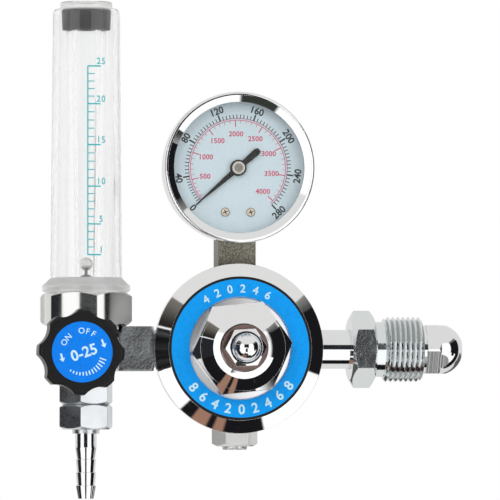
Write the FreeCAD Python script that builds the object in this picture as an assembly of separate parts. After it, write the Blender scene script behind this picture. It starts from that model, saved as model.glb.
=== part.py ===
"""Shielding-gas regulator with a bottom-entry pressure gauge and a variable-area flowmeter.

The regulator is a forged body with four ports, closed in front by a screwed bonnet. The gauge stands on
the top port, the relief valve hangs from the bottom one, the cylinder connection leaves to the right, and
the flowmeter with its needle valve and hose tail hangs on the left. Sizes are in millimetres.

Frame: +Z up, +X towards the gas cylinder, -Y towards the reader. The origin is on the inlet axis, at the
end of the union nut's thread. The pieces are modelled about the centre of the regulator, where the bonnet
axis crosses the port axes, and moved to the origin when they are written. "Front" below is the distance
forward, towards -Y, from the port axes.
"""

import FreeCAD
import Part

import math
import os

from FreeCAD import Rotation, Vector

FORWARD = Vector(0, -1, 0)
UPWARD = Vector(0, 0, 1)
RIGHTWARD = Vector(1, 0, 0)
LEFTWARD = Vector(-1, 0, 0)

# Clearances
SLIP = 0.05  # on the radius, between screwed, pressed or sliding pieces
PLAY = 0.08  # on the radius, where the union nut turns on the stem
LOOSE = 0.3  # between pieces that pass each other

# Regulator body and bonnet
HEAD_RADIUS = 26.4
HEAD_BACK = 4.5
HEAD_FRONT = 11.0
SKIRT_RADIUS = HEAD_RADIUS + 1.8
SKIRT_BACK = 7.2
RING_WALL = 3.3
RING_RADIUS = HEAD_RADIUS + RING_WALL
RING_BACK = 8.4
RING_EDGE = HEAD_FRONT + 1.45  # front of the ring's straight rim, where the bevel begins
BEVEL = 4.6
BEVEL_DEPTH = 3.35
BONNET_FACE = RING_EDGE + BEVEL_DEPTH
REAR_RADIUS = 16.5
REAR_DEPTH = 13.0
PORT_REACH = HEAD_RADIUS + 0.6  # from the bonnet axis to the mouth of each port
PORT_BOSS_RADIUS = 7.0
PORT_ROOT_RADIUS = 9.5
PORT_ROOT_REACH = PORT_REACH - 4
PORT_THREAD_RADIUS = 4.86
PORT_DEPTH = 12.0
PORT_THREAD_GAP = 0.5  # from a fitting's thread to the bottom of its port
GAS_HOLE_RADIUS = 1.5
LOW_CHAMBER_RADIUS = HEAD_RADIUS - 5.4
LOW_CHAMBER_DEPTH = 2.0
LOW_HOLE_OFFSET = 17.5
NOZZLE_SEAT = 2.0
NOZZLE_SHOULDER = 7.5
NOZZLE_RADIUS = 5.0
NOZZLE_FLANGE_RADIUS = 7.8
NOZZLE_BORE_RADIUS = 1.6
HIGH_CHAMBER_BACK = -9.0
DIAPHRAGM_THICKNESS = 1.0
DIAPHRAGM_CAVITY_RADIUS = HEAD_RADIUS - 7.4
DIAPHRAGM_CAVITY_DEPTH = 1.6
SPRING_BORE_RADIUS = 11.5
SPRING_BORE_FRONT = 21.8
BONNET_HEX = 30.8  # across flats
BONNET_HEX_HEIGHT = 6.7
BONNET_HEX_FRONT = BONNET_FACE + BONNET_HEX_HEIGHT
BONNET_HEX_TURN = 6.3  # degrees, as it was tightened
CONE_FOOT_RADIUS = 14.9
CONE_TOP_RADIUS = 8.5
CONE_HEIGHT = 4.0
CONE_BULGE = 0.63  # how far its side swells past a straight cone
BONNET_TOP = BONNET_HEX_FRONT + CONE_HEIGHT
LABEL_BORDER = 0.7
LABEL_OUTER_RADIUS = RING_RADIUS - BEVEL - LABEL_BORDER
LABEL_INNER_RADIUS = BONNET_HEX / math.sqrt(3) + 0.218  # just outside the hexagon's corners
LABEL_THICKNESS = 0.8
LABEL_RECESS = 0.6

# Adjusting screw, its nut, the springs and the valve inside
SCREW_RADIUS = 4.0
SCREW_REACH = 6.9
SCREW_END = BONNET_TOP + SCREW_REACH
WASHER_RADIUS = 8.1
WASHER_THICKNESS = 1.0
ACORN_HEX = 12.7
ACORN_HEX_HEIGHT = 4.5
ACORN_DOME_RADIUS = 4.9
ACORN_DOME_HEIGHT = 6.0
ACORN_DOME_CENTRE = BONNET_TOP + ACORN_DOME_HEIGHT
ACORN_TURN = 3.5
PLATE_RADIUS = 10.5
PLATE_THICKNESS = 1.3
STUD_RADIUS = 2.5
STUD_BACK = 10.6
BUTTON_RADIUS = 10.8
BUTTON_THICKNESS = 1.8
MAIN_SPRING_RADIUS = 8.6
MAIN_WIRE_RADIUS = 1.1
POPPET_GAP = 0.7  # open, as the preset spring holds it with no gas
POPPET_RADIUS = 3.6
POPPET_THICKNESS = 3.0
PIN_RADIUS = 0.9
POPPET_SPRING_RADIUS = 2.6
POPPET_WIRE_RADIUS = 0.35

# Relief valve under the body
RELIEF_HEX = 14.0
RELIEF_HEX_HEIGHT = 7.2
RELIEF_HEX_BOTTOM = -PORT_REACH - RELIEF_HEX_HEIGHT
RELIEF_CHAMBER_RADIUS = 3.4
RELIEF_SEAT = -PORT_REACH - 1.0
RELIEF_HOLE_RADIUS = 1.2
RELIEF_POPPET_RADIUS = 2.9
RELIEF_POPPET_THICKNESS = 1.4
RELIEF_PLUG_TOP = RELIEF_HEX_BOTTOM + 1.8
RELIEF_PLUG_BOTTOM = RELIEF_HEX_BOTTOM - 1.2
RELIEF_PLUG_RADIUS = 4.4
RELIEF_SLOT = 1.2
RELIEF_SPRING_RADIUS = 2.2
RELIEF_WIRE_RADIUS = 0.3

# Inlet: nipple, union nut and filter, along the X axis
STEM_RADIUS = 6.87
NUT_HEX = 23.6
BARE_STEM_LENGTH = 13.7
NUT_HEX_LENGTH = 8.6
NUT_NECK_LENGTH = 3.4
THREAD_LENGTH = 13.0
NUT_START = PORT_REACH + BARE_STEM_LENGTH
NUT_HEX_END = NUT_START + NUT_HEX_LENGTH
NUT_NECK_END = NUT_HEX_END + NUT_NECK_LENGTH
NUT_NECK_RADIUS = 9.7
THREAD_RADIUS = 11.455  # G 5/8, cut as a plain cylinder of the major diameter
THREAD_END = NUT_NECK_END + THREAD_LENGTH
THREAD_CHAMFER = 0.4
NOSE_HEX = 17.0
NOSE_FLANGE_THICKNESS = 1.2
NOSE_BALL_RADIUS = 8.9
NOSE_LENGTH = 6.7
NOSE_DOME_LENGTH = 8.2
NOSE_BALL_CENTRE = THREAD_END + NOSE_LENGTH
NOSE_TIP = NOSE_BALL_CENTRE + NOSE_DOME_LENGTH
INLET_BORE_RADIUS = 2.2
FILTER_RADIUS = 3.0
FILTER_LENGTH = 10.0

# Pressure gauge
CASE_RADIUS = 25.2
BARE_SOCKET_LENGTH = 11.1
GAUGE_HEIGHT = PORT_REACH + BARE_SOCKET_LENGTH + CASE_RADIUS
CASE_WALL = 0.8
CASE_BACK = -8.0
CASE_FRONT = 10.6
CASE_CORNER = 2.5
BEZEL_RADIUS = CASE_RADIUS + 1.3
BEZEL_BACK = CASE_FRONT - 3.65
BEZEL_FRONT = CASE_FRONT + 4.0
BEZEL_WINDOW_RADIUS = CASE_RADIUS - 2.2
LENS_THICKNESS = 2.0
DIAL_FACE = CASE_FRONT - 2.1
DIAL_THICKNESS = 0.5
DIAL_RADIUS = CASE_RADIUS - 1.2
SOCKET_SQUARE = 13.2
SOCKET_BLOCK_BACK = -5.0
DIAL_SCREW_SPREAD = 4.5
DIAL_SCREW_HEAD_RADIUS = 1.55
DIAL_SCREW_RADIUS = 0.95
POINTER_LENGTH = DIAL_RADIUS - 4.2
POINTER_TAIL = 9.8
POINTER_THICKNESS = 0.5
POINTER_FACE = DIAL_FACE + 1.2
POINTER_HUB_RADIUS = 2.85
POINTER_REST = 221.0  # degrees from +X, seen from the front
ARBOR_RADIUS = 0.6
GEAR_MODULE = 0.3
PINION_TEETH = 12
SECTOR_TEETH = 72  # of the full circle that the toothed arc is part of
SECTOR_CUT_TEETH = 12
SOCKET_BLOCK_TOP = -GEAR_MODULE * (PINION_TEETH + SECTOR_TEETH) / 2 - 1.8  # from the gauge's centre
DIAL_SCREW_DROP = 1.1 - SOCKET_BLOCK_TOP
PINION_BACK = 2.4
PINION_FRONT = 3.8
SECTOR_BACK = 2.6
SECTOR_FRONT = 3.6
PLATE_BACK = 0.0
PLATE_FRONT = 5.5
MOVEMENT_PLATE = 1.0
TAIL_RADIUS = 7.0
TAIL_ANGLE = -5.0
LINK_BACK = 1.3
LINK_FRONT = 2.3
LINK_PIN_RADIUS = 0.5
TUBE_LOOP_RADIUS = CASE_RADIUS - 7.7
SOCKET_BLOCK_HALF_WIDTH = TUBE_LOOP_RADIUS * 3 / 7
TUBE_LOOP_WIDTH = 7.0
TUBE_LOOP_THICKNESS = 2.4
TUBE_LOOP_WALL = 0.4
TUBE_TIP_ANGLE = -26.0
TUBE_ROOT_ANGLE = 248.0
TIP_PIN_RADIUS = TUBE_LOOP_RADIUS - 2.7
TIP_PIN_ANGLE = -22.0
HAIRSPRING_TURNS = 5
HAIRSPRING_OUTER_RADIUS = 3.3
HAIRSPRING_STRIP = 0.12
HAIRSPRING_WIDTH = 0.5
COLLAR_RADIUS = 1.0
LINK_EYE_RADIUS = 0.95
LINK_WIDTH = 1.2
TAIL_EYE_RADIUS = 0.9
TAIL_WIDTH = 1.4

# Outlet block and flowmeter
BLOCK_SQUARE = 15.6
BLOCK_COLLAR_LENGTH = 2.1
BLOCK_LENGTH = 12.5
BLOCK_RIGHT = -PORT_REACH - BLOCK_COLLAR_LENGTH
BLOCK_LEFT = BLOCK_RIGHT - BLOCK_LENGTH
BLOCK_COLLAR_RADIUS = 6.6
BLOCK_THREAD_LENGTH = 3.3
VALVE_SIDE_REACH = 10.9
FLOW_AXIS = BLOCK_LEFT - VALVE_SIDE_REACH
VALVE_BODY_RADIUS = 10.6
VALVE_BODY_TOP = 7.9
VALVE_BODY_BOTTOM = -9.5
VALVE_BODY_CORNER = 1.5
VALVE_SIDE_BOSS_RADIUS = 7.0
BASE_HEX = 29.0
BASE_HEX_HEIGHT = 12.0
BASE_HEX_TOP = VALVE_BODY_TOP + BASE_HEX_HEIGHT
BASE_TURN = 37.4
BASE_BORE_DEPTH = 7.9
BASE_FLOOR = BASE_HEX_TOP - BASE_BORE_DEPTH
BASE_BORE_RADIUS = BASE_HEX / 2 - 3.5
BASE_SPIGOT_RADIUS = 7.4
BASE_SPIGOT_LENGTH = 5.4
BASE_GAS_RADIUS = 1.6
UP_HOLE_RADIUS = 1.2
UP_HOLE_OFFSET = 1.0  # from the tube's axis, away from the needle valve
RETURN_HOLE_RADIUS = 0.8
RETURN_HOLE_BACK = 7.9  # behind the tube's axis, straight behind the needle
COVER_FLANGE_RADIUS = BASE_HEX / 2 + 0.9
COVER_FLANGE_HEIGHT = 2.2
COVER_FOOT_RADIUS = 12.55
COVER_FOOT_HEIGHT = 4.9
COVER_FOOT = BASE_HEX_TOP + COVER_FOOT_HEIGHT
COVER_HEAD_RADIUS = COVER_FOOT_RADIUS - 0.8
COVER_LENGTH = 99.3
COVER_SHOULDER = BASE_HEX_TOP + COVER_LENGTH
COVER_CORNER = 1.6
COVER_WALL = 2.2
COVER_CAP_RADIUS = COVER_HEAD_RADIUS - 2.65
COVER_CAP_HEIGHT = 2.4
COVER_CAP_TOP = COVER_SHOULDER + COVER_CAP_HEIGHT
COVER_CEILING = COVER_SHOULDER - 0.6
COVER_SPIGOT_BOTTOM = BASE_FLOOR + 0.4
COVER_SPIGOT_BORE = BASE_BORE_RADIUS - 1.8
TUBE_RADIUS = 7.0
TUBE_TOP = COVER_CEILING - 1.6
TUBE_FOOT_BORE = 2.6
TUBE_HEAD_BORE = 3.6
TUBE_TAPER_START = BASE_HEX_TOP + 4.1
GASKET_THICKNESS = 1.5
SEAL_BOTTOM = TUBE_TOP - 5.2
SEAL_TOP_RADIUS = COVER_HEAD_RADIUS - COVER_WALL - 0.85
SEAL_BOTTOM_RADIUS = SEAL_TOP_RADIUS - 0.3
BALL_RADIUS = 2.38
STOP_SHOULDER = BASE_HEX_TOP + 4.7
STOP_DOME_RADIUS = 2.9
STOP_PIN_TOP = STOP_SHOULDER + 2.7
STOP_PIN_RADIUS = 0.55
STOP_RADIUS = 2.5
STOP_SLOT = 1.4

# Needle valve and knob, forward from the valve body
VALVE_X = FLOW_AXIS - 4.2
VALVE_Z = -1.6
VALVE_BOSS_RADIUS = 7.6
VALVE_BOSS_FRONT = VALVE_BODY_RADIUS + 3.4
VALVE_BORE_BACK = 1.0
SPINDLE_THREAD_RADIUS = 3.0
SPINDLE_STEM_RADIUS = 2.45
SPINDLE_THREAD_BACK = 2.6
SPINDLE_THREAD_FRONT = 7.2
NEEDLE_ROOT_RADIUS = 1.8
NEEDLE_TIP_RADIUS = 0.35
NEEDLE_TIP = -1.2
VALVE_SEAT_RADIUS = 1.3
OUT_HOLE_RADIUS = 1.0
GLAND_HEX = 12.6
GLAND_HEX_HEIGHT = 2.4
GLAND_SPIGOT_RADIUS = 4.6
GLAND_SPIGOT_BACK = VALVE_BOSS_FRONT - 1.6
GLAND_TURN = 10.0
PACKING_BACK = VALVE_BOSS_FRONT - 3.5
KNOB_DEPTH = 11.0
KNOB_BACK = VALVE_BOSS_FRONT + 3.0
KNOB_FRONT = KNOB_BACK + KNOB_DEPTH
SPINDLE_END = KNOB_FRONT - 2
KNOB_RADIUS = 15.0
KNOB_WAIST_RADIUS = KNOB_RADIUS - 1.8
KNOB_LOBES = 8
KNOB_TURN = -3.0
SCALLOP_RADIUS = 7.5
KNOB_CAVITY_RADIUS = KNOB_RADIUS - 3.8
KNOB_CAVITY_FRONT = KNOB_FRONT - 5
KNOB_HUB_RADIUS = 5.0
KNOB_HUB_BACK = KNOB_BACK + 0.4
KNOB_LABEL_RADIUS = KNOB_RADIUS - 4.45
KNOB_LABEL_THICKNESS = 0.5
KNOB_LABEL_RECESS = 0.6

# Hose connection, down from the valve body
HOSE_HEX = 17.0
HOSE_HEX_TURN = 13.4
UNION_HEX_HEIGHT = 9.9
UNION_BOTTOM = VALVE_BODY_BOTTOM - UNION_HEX_HEIGHT
UNION_SPIGOT_RADIUS = 6.0
UNION_SPIGOT_LENGTH = 4.5
UNION_THREAD_RADIUS = 6.5
UNION_THREAD_BOTTOM = UNION_BOTTOM - 4.9
HOSE_NUT_HEIGHT = 8.9
HOSE_NUT_BOTTOM = UNION_BOTTOM - HOSE_NUT_HEIGHT
HOSE_NUT_NOSE = HOSE_NUT_BOTTOM - 1.4
HOSE_NUT_NOSE_RADIUS = 4.8
HOSE_NUT_LIP = 1.9
HOSE_NUT_HOLE_RADIUS = 4.0
TAIL_HEAD_RADIUS = 6.3
TAIL_STEM_RADIUS = 3.77
TAIL_STEM_LENGTH = 4.9
TAIL_STEM_BOTTOM = HOSE_NUT_NOSE - TAIL_STEM_LENGTH
TAIL_WAIST_RADIUS = 3.15
TAIL_BARB_RADIUS = 3.6
TAIL_NECK_LENGTH = 4.1
TAIL_FIRST_BARB = TAIL_STEM_BOTTOM - TAIL_NECK_LENGTH
TAIL_BARB_LENGTH = 4.6
TAIL_BARBS = 3
TAIL_BORE_RADIUS = 1.7


def place(shape, base, direction):
    """Moves a shape made about the local Z axis to a base point, with that axis along direction."""
    moved = shape.copy()
    moved.Placement = FreeCAD.Placement(base, Rotation(UPWARD, direction)).multiply(shape.Placement)
    return moved


def polar(radius, degrees):
    angle = math.radians(degrees)
    return Vector(radius * math.cos(angle), radius * math.sin(angle), 0)


def turned(outline, base=Vector(0, 0, 0), direction=UPWARD):
    """A lathe-turned solid. The outline runs round one side of the axis as (radius, height) points, and a
    pair of points stands for an arc through the first to the second."""
    start = Vector(outline[0][0], 0, outline[0][1])
    edges = []
    here = start
    for step in list(outline[1:]) + [outline[0]]:
        if isinstance(step[0], tuple):
            through, end = (Vector(r, 0, h) for r, h in step)
            edges.append(Part.Arc(here, through, end).toShape())
        else:
            end = Vector(step[0], 0, step[1])
            if end.isEqual(here, 1e-7):
                continue
            edges.append(Part.LineSegment(here, end).toShape())
        here = end
    profile = Part.Face(Part.Wire(edges))
    solid = profile.revolve(Vector(0, 0, 0), UPWARD, 360)
    return place(solid, base, direction)


def crown(radius, centre, start, stop):
    """An arc of a ball centred on the axis, between two angles above its equator, for turned()."""
    points = []
    for angle in ((start + stop) / 2, stop):
        points.append((radius * math.cos(angle), centre + radius * math.sin(angle)))
    return tuple(points)


def rod(radius, low, high, base=Vector(0, 0, 0), direction=UPWARD):
    """A round bar or hole from low to high along its direction."""
    return place(Part.makeCylinder(radius, high - low, Vector(0, 0, low)), base, direction)


def ring(outer, inner, low, high, base=Vector(0, 0, 0), direction=UPWARD):
    return rod(outer, low, high, base, direction).cut(rod(inner, low, high, base, direction))


def prism(across, low, high, sides=6, turn=0.0):
    """A bar with that size across its flats. With no turn, a six-sided one has a corner on local +X."""
    corner = across / 2 / math.cos(math.pi / sides)
    start = 0 if sides == 6 else math.pi / sides
    angles = [start + math.radians(turn) + 2 * math.pi * k / sides for k in range(sides + 1)]
    points = [Vector(corner * math.cos(a), corner * math.sin(a), low) for a in angles]
    return Part.Face(Part.makePolygon(points)).extrude(Vector(0, 0, high - low))


def bevelled_prism(across, low, high, sides=6, turn=0.0, ends=(True, True), share=0.97):
    """A prism whose corners are turned off at 30 degrees at the chosen ends, as on a nut."""
    corner = across / 2 / math.cos(math.pi / sides) + 0.1
    flat = across / 2 * share
    drop = (corner - flat) * math.tan(math.radians(30))
    outline = [(0, low)]
    outline += [(flat, low), (corner, low + drop)] if ends[0] else [(corner, low)]
    outline += [(corner, high - drop), (flat, high)] if ends[1] else [(corner, high)]
    outline += [(0, high)]
    return prism(across, low, high, sides, turn).common(turned(outline))


def coil(wire_radius, loop_radius, low, high, turns):
    """A compression spring about local Z. Its wire is an eight-sided bar that runs from one seat to the
    other, with plain cut ends."""
    climb = high - low - 2 * wire_radius
    helix = Part.makeHelix(climb / turns, climb, loop_radius)
    corners = []
    for k in range(9):
        angle = 2 * math.pi * k / 8
        corners.append(Vector(loop_radius + wire_radius * math.cos(angle), 0, wire_radius * math.sin(angle)))
    wound = Part.Wire(helix).makePipeShell([Part.makePolygon(corners)], True, True)
    wound.translate(Vector(0, 0, low + wire_radius))
    return wound


def at_front(front, x=0.0, z=0.0):
    """The point that lies that far forward of the port axes."""
    return Vector(x, -front, z)


CENTRE = Vector(0, 0, 0)
GAUGE = Vector(0, 0, GAUGE_HEIGHT)
FLOW = Vector(FLOW_AXIS, 0, 0)
VALVE = Vector(VALVE_X, 0, VALVE_Z)


# The regulator: body, bonnet and what they hold


def regulator_body():
    """A brass forging: a round head that carries the diaphragm, a rear cup and four port bosses."""
    outline = [
        (0, -REAR_DEPTH),
        (REAR_RADIUS - 4, -REAR_DEPTH),
        ((REAR_RADIUS - 1.2, 1.2 - REAR_DEPTH), (REAR_RADIUS, 4 - REAR_DEPTH)),
        (REAR_RADIUS, HEAD_BACK - 5),
        (HEAD_RADIUS - 3, HEAD_BACK),
        (HEAD_RADIUS, HEAD_BACK),
        (HEAD_RADIUS, HEAD_FRONT),
        (0, HEAD_FRONT),
    ]
    body = turned(outline, CENTRE, FORWARD)
    ports = (RIGHTWARD, LEFTWARD, UPWARD, -UPWARD)
    for way in ports:
        body = body.fuse(rod(PORT_ROOT_RADIUS, 0, PORT_ROOT_REACH, CENTRE, way))
        body = body.fuse(rod(PORT_BOSS_RADIUS, 0, PORT_REACH, CENTRE, way))
    front_space = rod(HEAD_RADIUS + LOOSE, HEAD_FRONT, HEAD_FRONT + 10, CENTRE, FORWARD)
    body = body.cut(front_space)
    floor = HEAD_FRONT - LOW_CHAMBER_DEPTH
    body = body.cut(rod(LOW_CHAMBER_RADIUS, floor, HEAD_FRONT, CENTRE, FORWARD))
    body = body.cut(rod(NOZZLE_FLANGE_RADIUS + SLIP, NOZZLE_SHOULDER, floor, CENTRE, FORWARD))
    body = body.cut(rod(NOZZLE_RADIUS, HIGH_CHAMBER_BACK, NOZZLE_SHOULDER, CENTRE, FORWARD))
    for way in ports:
        body = body.cut(rod(PORT_THREAD_RADIUS, PORT_REACH - PORT_DEPTH, PORT_REACH, CENTRE, way))
    for way in (RIGHTWARD, UPWARD):
        body = body.cut(rod(GAS_HOLE_RADIUS, 0, PORT_REACH - PORT_DEPTH, CENTRE, way))
    for way in (LEFTWARD, -UPWARD):
        mouth = way * LOW_HOLE_OFFSET
        body = body.cut(rod(GAS_HOLE_RADIUS, 0, floor, mouth, FORWARD))
    return body


def bonnet():
    """One turned piece: the bevelled ring that screws over the head, the spanner hexagon and its crown."""
    shoulder = HEAD_FRONT + DIAPHRAGM_THICKNESS
    outline = [
        (0, shoulder),
        (HEAD_RADIUS + SLIP, shoulder),
        (HEAD_RADIUS + SLIP, SKIRT_BACK),
        (SKIRT_RADIUS, SKIRT_BACK),
        (SKIRT_RADIUS, RING_BACK),
        (RING_RADIUS - 0.4, RING_BACK),
        (RING_RADIUS, RING_BACK + 0.4),
        (RING_RADIUS, RING_EDGE),
        (RING_RADIUS - BEVEL, BONNET_FACE),
        (LABEL_OUTER_RADIUS + SLIP, BONNET_FACE),
        (LABEL_OUTER_RADIUS + SLIP, BONNET_FACE - LABEL_RECESS),
        (0, BONNET_FACE - LABEL_RECESS),
    ]
    shell = turned(outline, CENTRE, FORWARD)
    corner = BONNET_HEX / 2 / math.cos(math.pi / 6)
    edge_drop = (corner - CONE_FOOT_RADIUS) * math.tan(math.radians(30))
    run = CONE_FOOT_RADIUS - CONE_TOP_RADIUS
    side = math.hypot(run, CONE_HEIGHT)
    middle = (
        CONE_TOP_RADIUS + run / 2 + CONE_BULGE * CONE_HEIGHT / side,
        BONNET_TOP - CONE_HEIGHT / 2 + CONE_BULGE * run / side,
    )
    crown = [
        (0, BONNET_FACE - LABEL_RECESS),
        (corner, BONNET_FACE - LABEL_RECESS),
        (corner, BONNET_HEX_FRONT - edge_drop),
        (CONE_FOOT_RADIUS, BONNET_HEX_FRONT),
        (middle, (CONE_TOP_RADIUS, BONNET_TOP)),
        (0, BONNET_TOP),
    ]
    hexagon = prism(BONNET_HEX, BONNET_FACE - LABEL_RECESS, BONNET_TOP, turn=BONNET_HEX_TURN)
    shell = shell.fuse(place(hexagon.common(turned(crown)), CENTRE, FORWARD))
    cavity_front = shoulder + DIAPHRAGM_CAVITY_DEPTH
    shell = shell.cut(rod(DIAPHRAGM_CAVITY_RADIUS, shoulder, cavity_front, CENTRE, FORWARD))
    shell = shell.cut(rod(SPRING_BORE_RADIUS, shoulder, SPRING_BORE_FRONT, CENTRE, FORWARD))
    return shell.cut(rod(SCREW_RADIUS, SPRING_BORE_FRONT, BONNET_TOP, CENTRE, FORWARD))


def label_ring():
    seat = BONNET_FACE - LABEL_RECESS
    return ring(LABEL_OUTER_RADIUS, LABEL_INNER_RADIUS, seat, seat + LABEL_THICKNESS, CENTRE, FORWARD)


def diaphragm():
    front = HEAD_FRONT + DIAPHRAGM_THICKNESS
    return ring(HEAD_RADIUS - SLIP, STUD_RADIUS + SLIP, HEAD_FRONT, front, CENTRE, FORWARD)


def diaphragm_plate():
    """The disc that spreads the spring's load, with a stud through the diaphragm to the valve's pin."""
    back = HEAD_FRONT + DIAPHRAGM_THICKNESS + SLIP
    outline = [
        (0, STUD_BACK),
        (STUD_RADIUS, STUD_BACK),
        (STUD_RADIUS, back),
        (PLATE_RADIUS - 0.3, back),
        (PLATE_RADIUS, back + 0.3),
        (PLATE_RADIUS, back + PLATE_THICKNESS),
        (0, back + PLATE_THICKNESS),
    ]
    return turned(outline, CENTRE, FORWARD)


def spring_button():
    """The disc between the spring and the adjusting screw, dished where the screw's end bears."""
    front = SPRING_BORE_FRONT - 0.4
    outline = [
        (0, front - BUTTON_THICKNESS),
        (BUTTON_RADIUS, front - BUTTON_THICKNESS),
        (BUTTON_RADIUS, front - 0.5),
        (BUTTON_RADIUS - 0.5, front),
        (SCREW_RADIUS + 0.6, front),
        (SCREW_RADIUS + 0.2, front - 0.3),
        (0, front - 0.3),
    ]
    return turned(outline, CENTRE, FORWARD)


def main_spring():
    back = HEAD_FRONT + DIAPHRAGM_THICKNESS + 2 * SLIP + PLATE_THICKNESS
    front = SPRING_BORE_FRONT - 0.4 - BUTTON_THICKNESS - SLIP
    return place(coil(MAIN_WIRE_RADIUS, MAIN_SPRING_RADIUS, back, front, 2.2), CENTRE, FORWARD)


def adjusting_screw():
    radius = SCREW_RADIUS - SLIP
    outline = [
        (0, SPRING_BORE_FRONT - 0.7 + SLIP),
        (radius - 0.8, SPRING_BORE_FRONT - 0.7 + SLIP),
        (radius, SPRING_BORE_FRONT + 0.1),
        (radius, SCREW_END - 0.5),
        (radius - 0.5, SCREW_END),
        (0, SCREW_END),
    ]
    slot = Part.makeBox(2 * SCREW_RADIUS, 1.2, 1.5, Vector(-SCREW_RADIUS, -0.6, SCREW_END - 1.5))
    return turned(outline, CENTRE, FORWARD).cut(place(slot, CENTRE, FORWARD))


def cap_washer():
    top = BONNET_TOP + WASHER_THICKNESS
    return ring(WASHER_RADIUS, SCREW_RADIUS + SLIP, BONNET_TOP, top, CENTRE, FORWARD)


def acorn_nut():
    """A domed cap nut that locks the adjusting screw and covers its slot."""
    seat = BONNET_TOP + WASHER_THICKNESS
    shoulder = seat + ACORN_HEX_HEIGHT
    hexagon = bevelled_prism(ACORN_HEX, seat, shoulder, turn=ACORN_TURN, ends=(False, True), share=0.9)
    ball_arc = crown(ACORN_DOME_RADIUS, ACORN_DOME_CENTRE, 0, math.pi / 2)
    foot = (ACORN_DOME_RADIUS, ACORN_DOME_CENTRE)
    dome = turned([(0, seat), (ACORN_DOME_RADIUS, seat), foot, ball_arc])
    nut = hexagon.fuse(dome).cut(rod(SCREW_RADIUS, seat, SCREW_END + 0.5))
    return place(nut, CENTRE, FORWARD)


def seat_nozzle():
    """The screwed-in nozzle. Its rear face is the seat that the poppet closes."""
    floor = HEAD_FRONT - LOW_CHAMBER_DEPTH
    shank = ring(NOZZLE_RADIUS - SLIP, NOZZLE_BORE_RADIUS, NOZZLE_SEAT, NOZZLE_SHOULDER)
    head = prism(2 * NOZZLE_FLANGE_RADIUS * math.cos(math.pi / 6), NOZZLE_SHOULDER, floor)
    head = head.cut(rod(NOZZLE_BORE_RADIUS, NOZZLE_SHOULDER, floor))
    return place(shank.fuse(head), CENTRE, FORWARD)


def valve_poppet():
    face = NOZZLE_SEAT - POPPET_GAP
    outline = [
        (0, face - POPPET_THICKNESS - 1.5),
        (POPPET_SPRING_RADIUS - POPPET_WIRE_RADIUS - 0.1, face - POPPET_THICKNESS - 1.5),
        (POPPET_SPRING_RADIUS - POPPET_WIRE_RADIUS - 0.1, face - POPPET_THICKNESS),
        (POPPET_RADIUS, face - POPPET_THICKNESS),
        (POPPET_RADIUS, face - 0.4),
        (POPPET_RADIUS - 0.4, face),
        (PIN_RADIUS, face),
        (PIN_RADIUS, STUD_BACK),
        (0, STUD_BACK),
    ]
    return turned(outline, CENTRE, FORWARD)


def poppet_spring():
    front = NOZZLE_SEAT - POPPET_GAP - POPPET_THICKNESS - SLIP
    wound = coil(POPPET_WIRE_RADIUS, POPPET_SPRING_RADIUS, HIGH_CHAMBER_BACK + SLIP, front, 4.5)
    return place(wound, CENTRE, FORWARD)


# The relief valve


def relief_body():
    top = -PORT_REACH
    thread = top + PORT_DEPTH - 2
    solid = bevelled_prism(RELIEF_HEX, RELIEF_HEX_BOTTOM, top, ends=(True, False), share=0.9)
    solid = solid.fuse(rod(PORT_THREAD_RADIUS - SLIP, top, thread))
    solid = solid.cut(rod(RELIEF_HOLE_RADIUS, RELIEF_SEAT, thread))
    return solid.cut(rod(RELIEF_CHAMBER_RADIUS, RELIEF_HEX_BOTTOM, RELIEF_SEAT))


def relief_poppet():
    top = RELIEF_SEAT - SLIP
    foot = top - RELIEF_POPPET_THICKNESS
    stalk = RELIEF_SPRING_RADIUS - RELIEF_WIRE_RADIUS - 0.2
    outline = [
        (0, foot - 1),
        (stalk, foot - 1),
        (stalk, foot),
        (RELIEF_POPPET_RADIUS, foot),
        (RELIEF_POPPET_RADIUS, top),
        (0, top),
    ]
    return turned(outline)


def relief_spring():
    top = RELIEF_SEAT - 2 * SLIP - RELIEF_POPPET_THICKNESS
    return coil(RELIEF_WIRE_RADIUS, RELIEF_SPRING_RADIUS, RELIEF_PLUG_TOP + SLIP, top, 3.5)


def relief_plug():
    """The screwed plug that loads the spring, with a vent hole and a crown for its key."""
    inner = RELIEF_CHAMBER_RADIUS - SLIP
    outline = [
        (0, RELIEF_PLUG_BOTTOM),
        (RELIEF_PLUG_RADIUS - 0.5, RELIEF_PLUG_BOTTOM),
        (RELIEF_PLUG_RADIUS, RELIEF_PLUG_BOTTOM + 0.5),
        (RELIEF_PLUG_RADIUS, RELIEF_HEX_BOTTOM),
        (inner, RELIEF_HEX_BOTTOM),
        (inner, RELIEF_PLUG_TOP),
        (0, RELIEF_PLUG_TOP),
    ]
    plug = turned(outline).cut(rod(RELIEF_HOLE_RADIUS, RELIEF_PLUG_BOTTOM, RELIEF_PLUG_TOP))
    reach = 2 * RELIEF_PLUG_RADIUS
    for turn in (30, 90, 150):
        slot = Part.makeBox(reach, RELIEF_SLOT, 1.2, Vector(-reach / 2, -RELIEF_SLOT / 2, RELIEF_PLUG_BOTTOM))
        slot.rotate(Vector(0, 0, 0), UPWARD, turn)
        plug = plug.cut(slot)
    return plug


# The cylinder connection


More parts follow.
